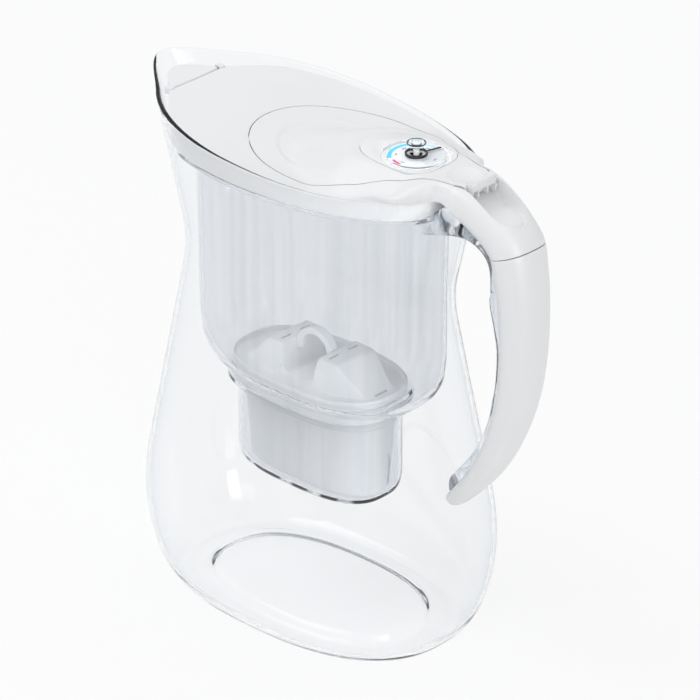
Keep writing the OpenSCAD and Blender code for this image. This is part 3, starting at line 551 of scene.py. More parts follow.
# %% The lid's shared surface
LID_H, LID_TILT, LID_T = RIM_H - 0.8, 0.68, 2.4
LID_GAP, LID_DISH, RIDGE_H = 0.8, 3.2, 12.3
TAIL_HALF, SCOOP_DEPTH, OVER_RIM, SHOULDER_AT = 18, 9, 3.6, 76
HATCH_HALF, HATCH_NECK, HATCH_FRONT = 44.3, 13, 37.3
HATCH_GAP, HATCH_T = 0.5, 3
HINGE_R, PIN_HALF, PIN_GAP = 1.5, 15, 0.06
LIP_H, LIP_HALF = 4.8, 9.2
FLAP_SEAM, FLAP_LEN, FLAP_HALF = 90.2, 16.5, 17.4
FLAP_T, FLAP_PIN_R = 2, 1
CROWN, HATCH_MID, NECK_AT = LID_H + RIDGE_H, 22, 108
HINGE_X, HINGE_Z, FLAP_X = 115.5, CROWN - 5.5, -FLAP_SEAM - 2.4


def lid_outline():
    """Half length, half width, middle and squareness of the lid's own outline."""
    h, inset = RIM_H - 4, JUG_WALL + LID_GAP
    return half_len(h) - inset, half_wid(h) - inset, -RIM_SHIFT * above_waist(h), squareness(h)


def lid_point(angle, inset=0.0):
    length, width, mid, n = lid_outline()
    x, y = oval(angle, length - inset + mid, length - inset - mid, width - inset, n, mid)
    return x, y * (1 - 0.14 * step(-x, 65, FLAP_SEAM))


def lid_half_at(x):
    length, width, mid, n = lid_outline()
    r = (x - mid) / (length + mid if x < mid else length - mid)
    return width * (1 - min(0.97, abs(r)) ** n) ** (1 / n)


def edge_h(x):
    return LID_H + LID_TILT * rise(x) + OVER_RIM * step(x, 58, SHOULDER_AT)


def lid_top(x, y):
    u = min(1, abs(y) / max(33, lid_half_at(x)))
    q = min(1, u * u / 0.64)
    swell = step(x, mix(-15, 28, q), mix(37, 56, q))
    start = 0.2 + 0.18 * step(x, 28, 46) + 0.07 * step(x, 55, 80)
    dip = LID_DISH * (0.45 + 0.55 * step(x, -40, 0))
    return mix(edge_h(x) - dip * (1 - u ** 3) * (1 - swell), CROWN,
               swell * (1 - ramp(max(0, u - start) / (1 - start), 0.2, 0.15)))


def neck_half_at(x):
    return HATCH_NECK - 2 * step(x, 106, 112)


def hatch_half_at(x, grow=0.0):
    a, b = HATCH_FRONT + HATCH_MID + grow, HATCH_HALF + grow
    if x < HATCH_MID:
        return b * math.sqrt(max(0, 1 - ((x - HATCH_MID) / a) ** 2))
    return neck_half_at(x) + grow + (HATCH_HALF - HATCH_NECK) * (1 - step(x, HATCH_MID + 8, NECK_AT))


def shoulder_top(x, y, edge_y, edge_z):
    """The lid's surface outside the hatch, rounded off towards the tail's side."""
    inner_y = hatch_half_at(x, HATCH_GAP)
    v = clamp((abs(y) - inner_y) / max(0.1, edge_y - inner_y), 0, 1)
    round_z = edge_z + (lid_top(x, inner_y) - edge_z) * (1 - v ** 2.3) ** (1 / 2.3)
    return mix(lid_top(x, y), round_z, step(x, SHOULDER_AT, 100))


print("crown of the lid:", CROWN, "mm; front edge:", round(edge_h(FLAP_X), 2), "mm")


# %% The lid's outline and the edge of the hatch opening
def lid_turn(x):
    """The angle at which the lid's outline comes to x."""
    length, _, mid, n = lid_outline()
    return math.acos(((x - mid) / (length - mid)) ** (n / 2))


SHOULDER_FROM = 72
T_FIRST = lid_turn(SHOULDER_FROM)
TURN_AT = (lid_turn(HATCH_MID) - T_FIRST) / (math.pi - T_FIRST)
SHOULDER = [(NECK_AT, TAIL_HALF), (NECK_AT - 8, TAIL_HALF + 0.4), (NECK_AT - 13.5, TAIL_HALF + 7),
            (NECK_AT - 21, TAIL_HALF + 15), lid_point(T_FIRST)]
SIDE_STEPS, SHOULDER_STEPS, DECK_STEPS = 104, 10, 20


def lid_side():
    """Pairs of outline point and facing point of the opening, from the tail round to the front."""
    pairs = []
    for k in range(4 * SHOULDER_STEPS):
        x, y = bend(SHOULDER, k // SHOULDER_STEPS, k % SHOULDER_STEPS / SHOULDER_STEPS)
        pairs.append(((x, y), (x, hatch_half_at(x, HATCH_GAP))))
    for k in range(SIDE_STEPS + 1):
        s = k / SIDE_STEPS
        x, y = lid_point(mix(T_FIRST, math.pi, s))
        x = max(x, -FLAP_SEAM)
        if x > HATCH_MID:
            facing = (x, hatch_half_at(x, HATCH_GAP))
        else:
            a = math.pi / 2 * (1 + (max(0, s - TURN_AT) / (1 - TURN_AT)) ** 0.9)
            facing = (HATCH_MID + (HATCH_FRONT + HATCH_MID + HATCH_GAP) * math.cos(a),
                      (HATCH_HALF + HATCH_GAP) * math.sin(a))
        pairs.append(((x, y), facing))
    return pairs


print("sections on each side of the lid:", 4 * SHOULDER_STEPS + SIDE_STEPS + 1)


# %% Model the deck
def between(p, q, t):
    return mix(p[0], q[0], t), mix(p[1], q[1], t)


def deck_ring(pair, side):
    """One section: the top from the outline to the opening, and back along the underside."""
    p, q = pair
    row = [between(p, q, (i / DECK_STEPS) ** 1.5) for i in range(DECK_STEPS + 1)]
    into_tail = step(p[0], NECK_AT - 14, NECK_AT - 5)
    low = edge_h(p[0]) - LID_T + into_tail
    edge_z = low + mix(LID_T, 0.9, into_tail)
    inner = between(p, q, min(1, 1.8 / max(0.1, math.dist(p, q))))
    top_row = [(x, side * y, shoulder_top(x, y, p[1], edge_z) if x > SHOULDER_AT else lid_top(x, y))
               for x, y in row]
    under = [(x, side * y, lid_top(x, y) - LID_T)
             for x, y in [between(q, inner, k / 15) for k in range(15)]]
    z_in = lid_top(*inner) - LID_T
    return ([(p[0], side * p[1], low)] + top_row + under
            + [(inner[0], side * inner[1], max(low, z_in)), (inner[0], side * inner[1], low)])


pairs = lid_side()
deck = wrapped("white_lid", [deck_ring(p, 1) for p in pairs]
               + [deck_ring(p, -1) for p in reversed(pairs[:-1])], 40)
print("deck faces:", len(deck.data.polygons))


# %% Model the tail with its thumb scoop
TAIL_FROM, SCOOP_NARROWS, SCOOP_END, FLAT_HALF = 1.45, 4.6, 5.87, 13.2


def tail_ring(s):
    """One section: a flat crown with rounded sides, and the scoop pressed into it."""
    back, _, thick = station(HANDLE_LINE, s)
    half = mix(TAIL_HALF, GRIP_HALF_TOP, step(s, 2, SEAM_AT))
    flat, n = FLAT_HALF * (1 - step(s, TAIL_FROM, 5.6)), 2.4
    scoop = neck_half_at(back) + 0.6 + 0.4 * step(back, 114, 121)
    narrowing = max(0, s - SCOOP_NARROWS) / (SCOOP_END - SCOOP_NARROWS)
    scoop *= math.sqrt(max(0.001, 1 - narrowing ** 2))
    deep = SCOOP_DEPTH * (0.92 + 0.16 * step(back, 108, 118)) * (1 - 0.6 * step(s, 3.8, SCOOP_END))
    deep *= 1 if s < SCOOP_END else 0
    a_s = math.asin(((scoop - flat) / (half - flat)) ** (n / 2))
    sweep = math.pi / 2 + math.asin(GRIP_EDGE) * step(s, 0.6, 5)

    def crest_at(y, wall=0.0):
        r = max(0, abs(y) - flat) / (half - flat - wall)
        return (thick - wall) * max(0, 1 - r ** n) ** (1 / n)

    side = [(flat + (half - flat) * power(math.sin(a), n), thick * power(math.cos(a), n))
            for a in [mix(sweep, a_s, i / 21) for i in range(21)]]
    pit = []
    for i in range(17):
        f = math.cos(math.pi / 2 * i / 16)
        u = min(1, (1 - f) / 0.12)
        drop = math.sqrt(1 - (1 - u) ** 2.5)
        y = scoop * f
        pit.append((y, crest_at(y) - deep * drop))
    right = side + pit
    outer = [(-y, z) for y, z in right] + list(reversed(right[:-1]))
    shrink, count = (half - COVER_WALL) / half, len(outer)
    inner = []
    for i in range(count - 1, -1, -1):
        y = outer[i][0] * shrink
        free = i < 21 or i > count - 22
        full = (thick - COVER_WALL) / thick * (outer[i][1] if free else 100)
        floor_z = thick - deep - COVER_WALL - 0.02 * min(i, count - 1 - i)
        inner.append((y, min(full, crest_at(y, COVER_WALL), floor_z)))
    return [place(HANDLE_LINE, s, y, z) for y, z in outer + inner]


tail_stations = [mix(TAIL_FROM, 4.8, k / 44) for k in range(44)]
tail_stations += [mix(4.8, SCOOP_END - 0.003, math.sin(math.radians(k * 90 / 30))) for k in range(31)]
tail_stations += [mix(SCOOP_END + 0.002, SEAM_AT, k / 14) for k in range(15)]
tail = wrapped("tail", [tail_ring(s) for s in tail_stations], 40)
print("tail faces:", len(tail.data.polygons))


# %% Model the skirt and the flap's ears, and join them to the deck
SKIRT_IN, SKIRT_T = 0.8, 1.6


def skirt_ring(angle):
    out_top, in_top = lid_point(angle, SKIRT_IN), lid_point(angle, SKIRT_IN + SKIRT_T)
    z, low = edge_h(out_top[0]) - 1, FLANGE_H + 0.3
    out_low = level_point(angle, low, JUG_WALL + LID_GAP)
    in_low = level_point(angle, low, JUG_WALL + LID_GAP + SKIRT_T)
    return [(p[0], p[1], h) for p, h in ((out_low, low), (out_top, z), (in_top, z), (in_low, low))]


skirt = wrapped("skirt", [skirt_ring(math.radians(t)) for t in range(-152, 153, 2)], 30)
FLAP_Z, ALONG_Y = lid_top(FLAP_X, 0) - 1.2, (math.pi / 2, 0, 0)
ears = [block("ear", (FLAP_X - 1.8, side * (FLAP_HALF + 2) - 1.5, FLAP_Z - 1.8),
              (FLAP_X + 3, side * (FLAP_HALF + 2) + 1.5, FLAP_Z + 2.2)) for side in (1, -1)]
join(deck, tail, skirt, *ears)
carve(deck,
      rod("hatch_pin_bore", (HINGE_X, 0, HINGE_Z), HINGE_R + PIN_GAP, 2 * PIN_HALF + 0.6, ALONG_Y),
      rod("flap_pin_bore", (FLAP_X, 0, FLAP_Z), FLAP_PIN_R + PIN_GAP, 2 * FLAP_HALF + 6, ALONG_Y))
soften_edges(deck, 0.3)
done(deck, "lid_body", "lid")

# %% [markdown]
# ## The hatch
# The hatch is a slab under the same height function, so it starts as the same kind of wrapped
# sheet. A shallow dish is moulded into its front, with a crease 12 to 15 mm inside its edge, and
# its rear end carries a lip for the thumb, hollow beneath and stiffened by two ribs.

# %% Model the hatch
DISH_DEEP, DISH_IN, DISH_IN_SIDE, HATCH_ROWS = 1.0, 15.0, 12.5, 44


def hatch_top(x, y):
    """The lid's surface with the hatch's dish pressed into it."""
    a, b = HATCH_FRONT + HATCH_MID - DISH_IN, HATCH_HALF - DISH_IN_SIDE
    near = math.hypot(min(0, x - HATCH_MID) / a, y / b)
    dish = (1 - step(near, 0.93, 1.0)) * (1 - step(x, HATCH_MID, 58))
    return lid_top(x, y) - DISH_DEEP * dish


def slab_ring(x, half, top_of, thick):
    ys = [half * i / HATCH_ROWS for i in range(-HATCH_ROWS, HATCH_ROWS + 1)]
    return [(x, y, top_of(x, y)) for y in ys] + [(x, y, lid_top(x, y) - thick) for y in reversed(ys)]


ROOT = 1.9
xs = [HATCH_MID - (HATCH_FRONT + HATCH_MID) * math.cos(math.radians(k * 90 / 64)) for k in range(3, 65)]
xs += [mix(HATCH_MID, HINGE_X - ROOT, k / 90) for k in range(1, 91)]
hatch = wrapped("white_hatch", [slab_ring(x, hatch_half_at(x), hatch_top, HATCH_T) for x in xs], 40)
lip = block("lip", (HINGE_X - 3, -LIP_HALF, CROWN - 3), (HINGE_X + 2, LIP_HALF, CROWN - 3 + LIP_H))
root = block("root", (HINGE_X - 4, -LIP_HALF, HINGE_Z - ROOT), (HINGE_X + ROOT, LIP_HALF, HINGE_Z + 2.6))
pins = rod("pins", (HINGE_X, 0, HINGE_Z), HINGE_R, 2 * PIN_HALF, ALONG_Y)
join(hatch, lip, root, pins)
print("hatch faces:", len(hatch.data.polygons))


# %% Cut the dial's seat and the thumb dish
DIAL_X, DIAL_R, DIAL_T = 70, 18.5, 1.8
TRAY_HALF, TRAY_T = 19.6, 1.8
TRAY_X, TRAY_FRONT, TRAY_REAR = 66, 29, 23
TRAY_LOW, TRAY_GAP = CROWN + 0.2 - TRAY_T, 0.2
BEZEL_W, FACE_LOW, FACE_T = 2.4, TRAY_LOW + 0.8, 0.5
DISC_GAP, DISC_T = 0.3, 0.8
KNOB_FOOT = FACE_LOW + FACE_T + DISC_GAP + DISC_T
STEM_R, KNOB_R, KNOB_H, SPINDLE_R = 3.4, 5.1, 7.4, 1.5
THUMB_X, THUMB_R, THUMB_DEEP = 104, 20, 2.4


def tray_ring(grow, z):
    ring = []
    for t in angles(120):
        n = 2.4 if math.cos(t) < 0 else 3.2
        ring.append((*oval(t, TRAY_FRONT + grow, TRAY_REAR + grow, TRAY_HALF + grow, n, TRAY_X), z))
    return ring


carve(hatch, wrapped("tray_seat", [tray_ring(TRAY_GAP, TRAY_LOW), tray_ring(TRAY_GAP, TRAY_LOW + 5)]))
nothing_selected()
bpy.ops.mesh.primitive_uv_sphere_add(segments=96, ring_count=64, radius=THUMB_R * MM,
                                     location=at(THUMB_X, 0, CROWN + THUMB_R - THUMB_DEEP))
bpy.ops.object.transform_apply()
carve(hatch, named("thumb_ball"))
print("hatch faces, with the dial's seat and the thumb dish:", len(hatch.data.polygons))

# %% Hollow out the thumb lip and leave two ribs
carve(hatch, block("lip_hollow", (HINGE_X - 2.4, -LIP_HALF + 0.7, HINGE_Z - 4),
                   (HINGE_X + 4, LIP_HALF - 0.7, CROWN - 2.8)))
join(hatch, *[block("lip_rib", (HINGE_X - 3.6, side * 3.6 - 0.6, HINGE_Z - 1.5),
                    (HINGE_X + 1.2, side * 3.6 + 0.6, CROWN - 2.5)) for side in (-1, 1)])
soften_edges(hatch, 0.3)
done(hatch, "hatch_body", "hatch")


# %% Model the spout flap
def flap_half_at(d):
    return FLAP_HALF * (1 - min(0.995, d / FLAP_LEN) ** 1.35) ** 0.62


flap_rows = []
for k in range(48, -1, -1):
    d = FLAP_LEN * (1 - (1 - k / 48) ** 1.5)
    flap_rows.append(slab_ring(FLAP_X + 0.8 - d, flap_half_at(d), lid_top, FLAP_T))
flap = wrapped("white_spout_flap", flap_rows, 40)
join(flap, rod("flap_barrel", (FLAP_X, 0, FLAP_Z), 1.4, 2 * FLAP_HALF - 0.8, ALONG_Y),
     rod("flap_pins", (FLAP_X, 0, FLAP_Z), FLAP_PIN_R, 2 * FLAP_HALF + 5.2, ALONG_Y))
soften_edges(flap, 0.25)
done(flap, "flap_body", "spout_flap")

# %% [markdown]
# ## The change dial
# A small dial in the hatch reminds the owner to change the cartridge. A white tray holds a
# printed face and a clear bezel, and a clear disc with a goblet-shaped knob turns above it. Round
# parts are lathed: their section is turned about the dial's axis.


# %% Lathe the bezel and the knob
def lathed(name, section, steps=120):
    rings = [[(DIAL_X + r * math.cos(a), r * math.sin(a), z) for r, z in section]
             for a in [2 * math.pi * i / steps for i in range(steps + 1)]]
    return wrapped(name, rings, 40, ends=False)


round_top = [(DIAL_R - BEZEL_W / 2 + BEZEL_W / 2 * math.cos(a), FACE_LOW + DIAL_T + 0.72 * math.sin(a))
             for a in [math.pi * k / 14 for k in range(15)]]
BEZEL_LOW = FACE_LOW + 0.05
bezel = lathed("clear_dial_bezel", [(DIAL_R - BEZEL_W, BEZEL_LOW), (DIAL_R, BEZEL_LOW)] + round_top)
done(bezel, "hatch_body", "dial_bezel")
knob = lathed("clear_dial_knob", [(r, KNOB_FOOT + z) for r, z in (
    (SPINDLE_R + PIN_GAP, 0), (STEM_R - 0.3, 0), (STEM_R, 0.3), (STEM_R, 2.0), (STEM_R + 0.1, 3.2),
    (STEM_R + 0.5, KNOB_H - 2.4), (KNOB_R - 1.1, KNOB_H - 1.8), (KNOB_R - 0.8, KNOB_H - 1.3),
    (KNOB_R - 0.8, KNOB_H), (KNOB_R - 1.8, KNOB_H), (STEM_R - 0.7, KNOB_H - 1.6), (1.2, KNOB_H - 2),
    (0, KNOB_H - 2), (0, 2.8), (SPINDLE_R + PIN_GAP, 2.8))])
done(knob, "dial_body", "dial_knob")

# %% Lathe the hub and the knob's ring
def heights_of(node):
    """The lowest and highest z of a solid, in millimetres."""
    return [corner[2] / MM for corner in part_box(node)]


HUB_IN, HUB_OUT, TRIM_R = 5.2, 6.1, 0.34
low, high = heights_of("dial_hub")
hub = lathed("black_dial_hub", [(HUB_IN, low), (HUB_OUT, low), (HUB_OUT, high - 0.2), (HUB_OUT - 0.2, high),
                                (HUB_IN + 0.2, high), (HUB_IN, high - 0.2)])
done(hub, "dial_body", "dial_hub")
trim_z = sum(heights_of("knob_ring")) / 2
trim = lathed("black_knob_ring", [(KNOB_R - 0.2 + TRIM_R * math.cos(a), trim_z + TRIM_R * math.sin(a))
                                  for a in angles(12)])
done(trim, "dial_body", "knob_ring")


# %% Model the dial's tray
tray = wrapped("white_dial_tray", [tray_ring(0, TRAY_LOW), tray_ring(0, TRAY_LOW + TRAY_T)])
carve(tray, rod("face_recess", (DIAL_X, 0, FACE_LOW + 2), DIAL_R + TRAY_GAP, 4, vertices=160))
SPINDLE_TOP = KNOB_FOOT + 2.6
join(tray, rod("spindle", (DIAL_X, 0, (FACE_LOW + SPINDLE_TOP) / 2), SPINDLE_R, SPINDLE_TOP - FACE_LOW + 0.1))
soften_edges(tray, 0.2)
done(tray, "hatch_body", "dial_tray")

# %% [markdown]
# ## The cartridge
# The cartridge is a white cap on a light grey cup. The cap's pan and skirt are wrapped, and each
# ridge on it is a profile swept across: a flat crest, then a long slope that eases out at the foot.
# A trough with a rounded floor fills the gap between them, and a ring stands over it for a finger.

# %% Model the cap's pan and skirt
CART_WALL, HUMP_H, HUMP_IN, HUMP_SIDE = 1.6, 16, 12.5, 14.8
PAN_H, CW = CART_TOP_H - 2.5, 2 * CART_WALL


def cap_ring(grow, z):
    return cart_ring(CART_LEN + grow, CART_WID + grow, z)


cap = wrapped("white_cartridge_cap", rounded([
    cart_ring(4, 2, PAN_H), cap_ring(-3.6, PAN_H), cap_ring(-2.8, CART_TOP_H), cap_ring(0, CART_TOP_H),
    cap_ring(0, CART_TOP_H - 3), cap_ring(-0.9, CART_TOP_H - 3.5), cap_ring(-0.6, SEAT_H),
    cap_ring(-CW, SEAT_H), cap_ring(-CW, CART_TOP_H - 4), cart_ring(4, 2, CART_TOP_H - 4)], 0.7), 30)
print("cap faces:", len(cap.data.polygons))


# %% Sweep the two ridges and the trough between them
def swept(name, profile, stations, narrow=0.0):
    """Sweeps a closed profile along Y; each station gives y, and the share of its height."""
    return wrapped(name, [[(CART_X + x, y * (1 - narrow * step(abs(x), 24, 48)), PAN_H - 1 + (z + 1) * share)
                           for x, z in profile] for y, share in stations], 30)


def ridge_profile(side, crest, foot):
    slope = [(mix(crest, foot, k / 28), HUMP_H * (1 - ramp(k / 28, 0.15, 0.35))) for k in range(29)]
    points = [(HUMP_IN - 0.4, -1), (HUMP_IN, HUMP_H - 1.2), (HUMP_IN + 0.9, HUMP_H)] + slope + [(foot, -1)]
    return [(side * x, z) for x, z in points]


def eased_side(inner, outer, count):
    return [(mix(inner, outer, k / count), 1 - 0.96 * ramp(k / count, 0.35, 0.3)) for k in range(count + 1)]


CRESTS_AND_FEET = {"rear": (24.5, 49), "front": (22.0, 42)}
ACROSS = eased_side(-HUMP_SIDE + 1.2, -HUMP_SIDE - 6.2, 14)[::-1]
ACROSS += eased_side(HUMP_SIDE - 1, HUMP_SIDE + 4, 10)
TROUGH_TOP, TROUGH_DEEP = 9.8, 9
trough = [(-HUMP_IN - 1, -1), (-HUMP_IN - 1, TROUGH_TOP)]
trough += [(HUMP_IN * power(math.sin(t), 3), TROUGH_TOP - TROUGH_DEEP * power(math.cos(t), 3))
           for t in [math.radians(k * 6) for k in range(-15, 16)]]
trough += [(HUMP_IN + 1, TROUGH_TOP), (HUMP_IN + 1, -1)]
hollow = swept("trough", trough, [(-HUMP_SIDE - 4.8, 0.05), (-HUMP_SIDE - 2.4, 1), (8, 1),
                                  (HUMP_SIDE, 0.6)])
join(cap, swept("ridge_rear", ridge_profile(1, *CRESTS_AND_FEET["rear"]), ACROSS, 0.36),
     swept("ridge_front", ridge_profile(-1, *CRESTS_AND_FEET["front"]), ACROSS, 0.2), hollow)
print("cap faces, with the ridges:", len(cap.data.polygons))

# %% Add the finger ring and cut the water slots
RING_Y, RING_Z, RING_R, RING_HOLE_R = -1.9, CART_TOP_H + 10.2, 12.9, 9.3
SLOT_X, SLOT_Y, SLOT_HALF = 17.6, 7.4, 0.7
SLOT_LONG, END_SLOT_X, END_SLOT_LONG = 7.2, CART_X + 45.1, 9.6
ring = rod("finger_ring", (CART_X, RING_Y, RING_Z), RING_R, 5, ALONG_Y, 96)
carve(ring,
      block("ring_trim", (CART_X - 20, RING_Y - 4, RING_Z - 20), (CART_X + 20, RING_Y + 4, RING_Z - 2)),
      rod("ring_hole", (CART_X, RING_Y, RING_Z), RING_HOLE_R, 8, ALONG_Y, 96))
join(cap, ring)
for side in (-1, 1):
    for slot_y in (-SLOT_Y, SLOT_Y):
        slot_x = CART_X + side * SLOT_X
        carve(cap, block("slot_cutter", (slot_x - SLOT_HALF, slot_y - SLOT_LONG / 2, PAN_H + HUMP_H - 4),
                         (slot_x + SLOT_HALF, slot_y + SLOT_LONG / 2, PAN_H + HUMP_H + 3)))
carve(cap, block("end_slot_cutter", (END_SLOT_X - SLOT_HALF, -END_SLOT_LONG / 2, PAN_H - 0.5),
                 (END_SLOT_X + SLOT_HALF, END_SLOT_LONG / 2, PAN_H + 8)))
soften_edges(cap, 0.45, 2, 40)
done(cap, "cartridge_body", "cartridge_cap")

# %% Model the cup
CUP_TAPER, SHELF_T = 3, 1.8
CUP_LOW, CUP_LEN, CUP_WID = SEAT_H - CUP_DEPTH, CART_LEN - 17.2, CART_WID - 20.6
TOP_LEN, TOP_WID, SHELF_H = CUP_LEN + 2 * CUP_TAPER, CUP_WID + 2 * CUP_TAPER, SEAT_H + 0.2


def low_ring(grow, z):
    return cart_ring(CUP_LEN + grow, CUP_WID + grow, z)


def top_ring(grow, z):
    return cart_ring(TOP_LEN + grow, TOP_WID + grow, z)


cup = wrapped("grey_cartridge_cup", rounded([
    cart_ring(4, 2, CUP_LOW), low_ring(-6, CUP_LOW), low_ring(-1.2, CUP_LOW + 1), low_ring(0, CUP_LOW + 3),
    top_ring(0, SEAT_H - 3), top_ring(0, SHELF_H), cap_ring(-CW - 0.4, SHELF_H),
    cap_ring(-CW - 0.4, SHELF_H + SHELF_T), top_ring(-CW, SHELF_H + SHELF_T), top_ring(-CW, SEAT_H - 3),
    low_ring(-CW, CUP_LOW + 3), low_ring(-CW, CUP_LOW + CART_WALL),
    cart_ring(4, 2, CUP_LOW + CART_WALL)], 0.6))
print("cup:", CUP_LEN, "by", CUP_WID, "mm at its foot,", TOP_LEN, "by", TOP_WID, "mm at its top")

# %% Cut the cup's slots and the notch in its end
for slot_x in range(-32, 33, 8):
    carve(cup, block("slot_cutter", (CART_X + slot_x - 1, -CUP_WID / 2 + 7, CUP_LOW - 1),
                     (CART_X + slot_x + 1, CUP_WID / 2 - 7, CUP_LOW + CART_WALL + 1)))
NOTCH_R, NOTCH_X, NOTCH_Z, NOTCH_DEEP = 8.7, CART_X + TOP_LEN / 2, CUP_LOW + 16, 1.1
notch = rod("notch_cutter", (NOTCH_X, 0, NOTCH_Z), NOTCH_R, 12, (0, math.pi / 2, 0), 64)
join(notch, block("notch_leg", (NOTCH_X - 6, -NOTCH_R, CUP_LOW - 1), (NOTCH_X + 6, NOTCH_R, NOTCH_Z)))
carve(notch, wrapped("notch_floor", [
    cart_ring(length - 2 * NOTCH_DEEP, width, z)
    for length, width, z in ((CUP_LEN, CUP_WID, CUP_LOW - 2), (CUP_LEN, CUP_WID, CUP_LOW + 3),
                             (TOP_LEN, TOP_WID, SEAT_H - 3))]))
carve(cup, notch)
smooth(cup)
done(cup, "cartridge_body", "cartridge_cup")

# %% [markdown]
# ## Finishes
# Each finish is a node material. Clear plastic bends light, lets the lamps through, so that what is
# inside stays lit, and is painted darker towards its edges by the angle of view: painted shade for
# the dark studio seen in its edges and for the sight line that runs long in the wall. Opaque plastic
# gets a little mottle in its gloss and a fine skin, as a polished mould leaves it, and painted shade
# in its corners.


# %% Add a node and fill its sockets
def fill(tree, node, sockets):
    """Gives each socket of a node a constant, or a link from another node's output."""
    for socket, value in sockets.items():
        if isinstance(value, bpy.types.NodeSocket):
            tree.links.new(value, node.inputs[socket])
        else:
            node.inputs[socket].default_value = value


def add(tree, kind, sockets, **settings):
    """Adds a shader node to a tree and gives back its outputs."""
    node = tree.nodes.new("ShaderNode" + kind)
    for setting, value in settings.items():
        setattr(node, setting, value)
    fill(tree, node, sockets)
    return node.outputs


def new_material(name):
    material = bpy.data.materials.new(name)
    material.use_nodes = True
    return material, material.node_tree, material.node_tree.nodes["Principled BSDF"]


# %% Patterns: noise, ranges and ramps of colour
def noise(tree, coordinates, scale, stretch=(1, 1, 1), detail=3.0):
    place_of = add(tree, "TexCoord", {})[coordinates]
    stretched = add(tree, "Mapping", {"Vector": place_of, "Scale": stretch})["Vector"]
    return add(tree, "TexNoise", {"Vector": stretched, "Scale": scale, "Detail": detail})["Fac"]


def ranged(tree, source, low, high, start=0.0, end=1.0):
    """Maps start to end onto low to high, and holds the ends."""
    return add(tree, "MapRange", {"Value": source, "From Min": start, "From Max": end,
                                  "To Min": low, "To Max": high})["Result"]


def ramp_of(tree, source, stops):
    colours = tree.nodes.new("ShaderNodeValToRGB")
    while len(colours.color_ramp.elements) < len(stops):
        colours.color_ramp.elements.new(0.5)
    for element, (position, colour) in zip(colours.color_ramp.elements, stops):
        element.position, element.color = position, (*colour, 1)
    fill(tree, colours, {"Fac": source})
    return colours.outputs["Color"]


# %% Sums, blends and bumps
def maths(tree, operation, first, second):
    return add(tree, "Math", {0: first, 1: second}, operation=operation)[0]


def multiplied(tree, first, second):
    """The product of two colours, such as a tint and its shade."""
    return add(tree, "Mix", {0: 1, 6: first, 7: second}, data_type="RGBA", blend_type="MULTIPLY")[2]


def either(tree, share, first, second, end):
    """Sends one shader or another to the end node, by a share from 0 to 1."""
    blend = add(tree, "MixShader", {0: share, 1: first[0], 2: second[0]})
    fill(tree, tree.nodes[end], {"Surface": blend[0]})


def bumped(tree, height, distance, strength):
    return add(tree, "Bump", {"Height": height, "Distance": distance, "Strength": strength})["Normal"]


# %% The two kinds of plastic
def opaque(name, dark, light, rough, fine=900, depth=0.00002, gap_shade=False):
    """Moulded plastic, with painted shade in deep corners and, by the gap option, in gaps to the next piece.
    """
    material, tree, shader = new_material(name)
    mottle = noise(tree, "Object", 14)
    # painted shade: ambient occlusion darkens the colour in corners, and also in the gaps to other pieces
    # when not local
    crevice = add(tree, "AmbientOcclusion", {"Distance": 0.0022}, samples=8, only_local=not gap_shade)["AO"]
    deepest_shade = (0.03, 0.035, 0.04) if gap_shade else (0.5, 0.52, 0.54)
    shade = ramp_of(tree, crevice, [(0.12, deepest_shade), (0.5, (0.82, 0.83, 0.84)), (0.75, (1, 1, 1))])
    fill(tree, shader, {
        "Base Color": multiplied(tree, ramp_of(tree, mottle, [(0.3, dark), (0.7, light)]), shade),
        "Roughness": ranged(tree, mottle, rough - 0.04, rough + 0.04),
        "Normal": bumped(tree, noise(tree, "Object", fine), depth, 0.4)})
    return material


def clear(name, stops, bending, coat=0.5, rough=0.02, wave=0.00025, streak_shade=0.0):
    """Clear plastic; the stops give its tint from a square view to a grazing one, with painted shade at the
    grazing end.
    """
    material, tree, shader = new_material(name)
    # painted shade: the colour darkens towards the edges by the angle of view, standing in for the dark
    # studio seen in them
    tint = ramp_of(tree, add(tree, "LayerWeight", {"Blend": 0.5})["Facing"], stops)
    # painted reflection: long streaks of noise darken the tint, standing in for the studio's lamps and gaps
    # mirrored in the wall
    if streak_shade:
        painted_streaks = noise(tree, "Object", 1, (150, 150, 4), 2)
        tint = multiplied(tree, tint, ramp_of(tree, painted_streaks, [
            (0.40, (1 - streak_shade, 1 - streak_shade * 0.85, 1 - streak_shade * 0.7)), (0.56, (1, 1, 1))]))
    flow = noise(tree, "Object", 1, (38, 38, 7), 2)
    fill(tree, shader, {
        "Base Color": tint, "Transmission Weight": 1, "IOR": bending, "Coat Weight": coat,
        "Coat IOR": 1.45, "Coat Roughness": 0.02, "Roughness": ranged(tree, flow, rough, rough + 0.03),
        "Normal": bumped(tree, flow, wave, 0.5)})
    through = add(tree, "BsdfTransparent", {"Color": (0.985, 0.985, 0.985, 1)})
    either(tree, add(tree, "LightPath", {})["Is Shadow Ray"], shader.outputs, through, "Material Output")
    return material


# %% Make the finishes
clear_body = clear("clear_body", [
    (0.0, (0.962, 0.968, 0.976)), (0.5, (0.957, 0.963, 0.972)), (0.72, (0.91, 0.928, 0.948)),
    (0.86, (0.80, 0.845, 0.89)), (0.94, (0.62, 0.69, 0.77)), (1.0, (0.46, 0.54, 0.63))], 1.1, 0.5)
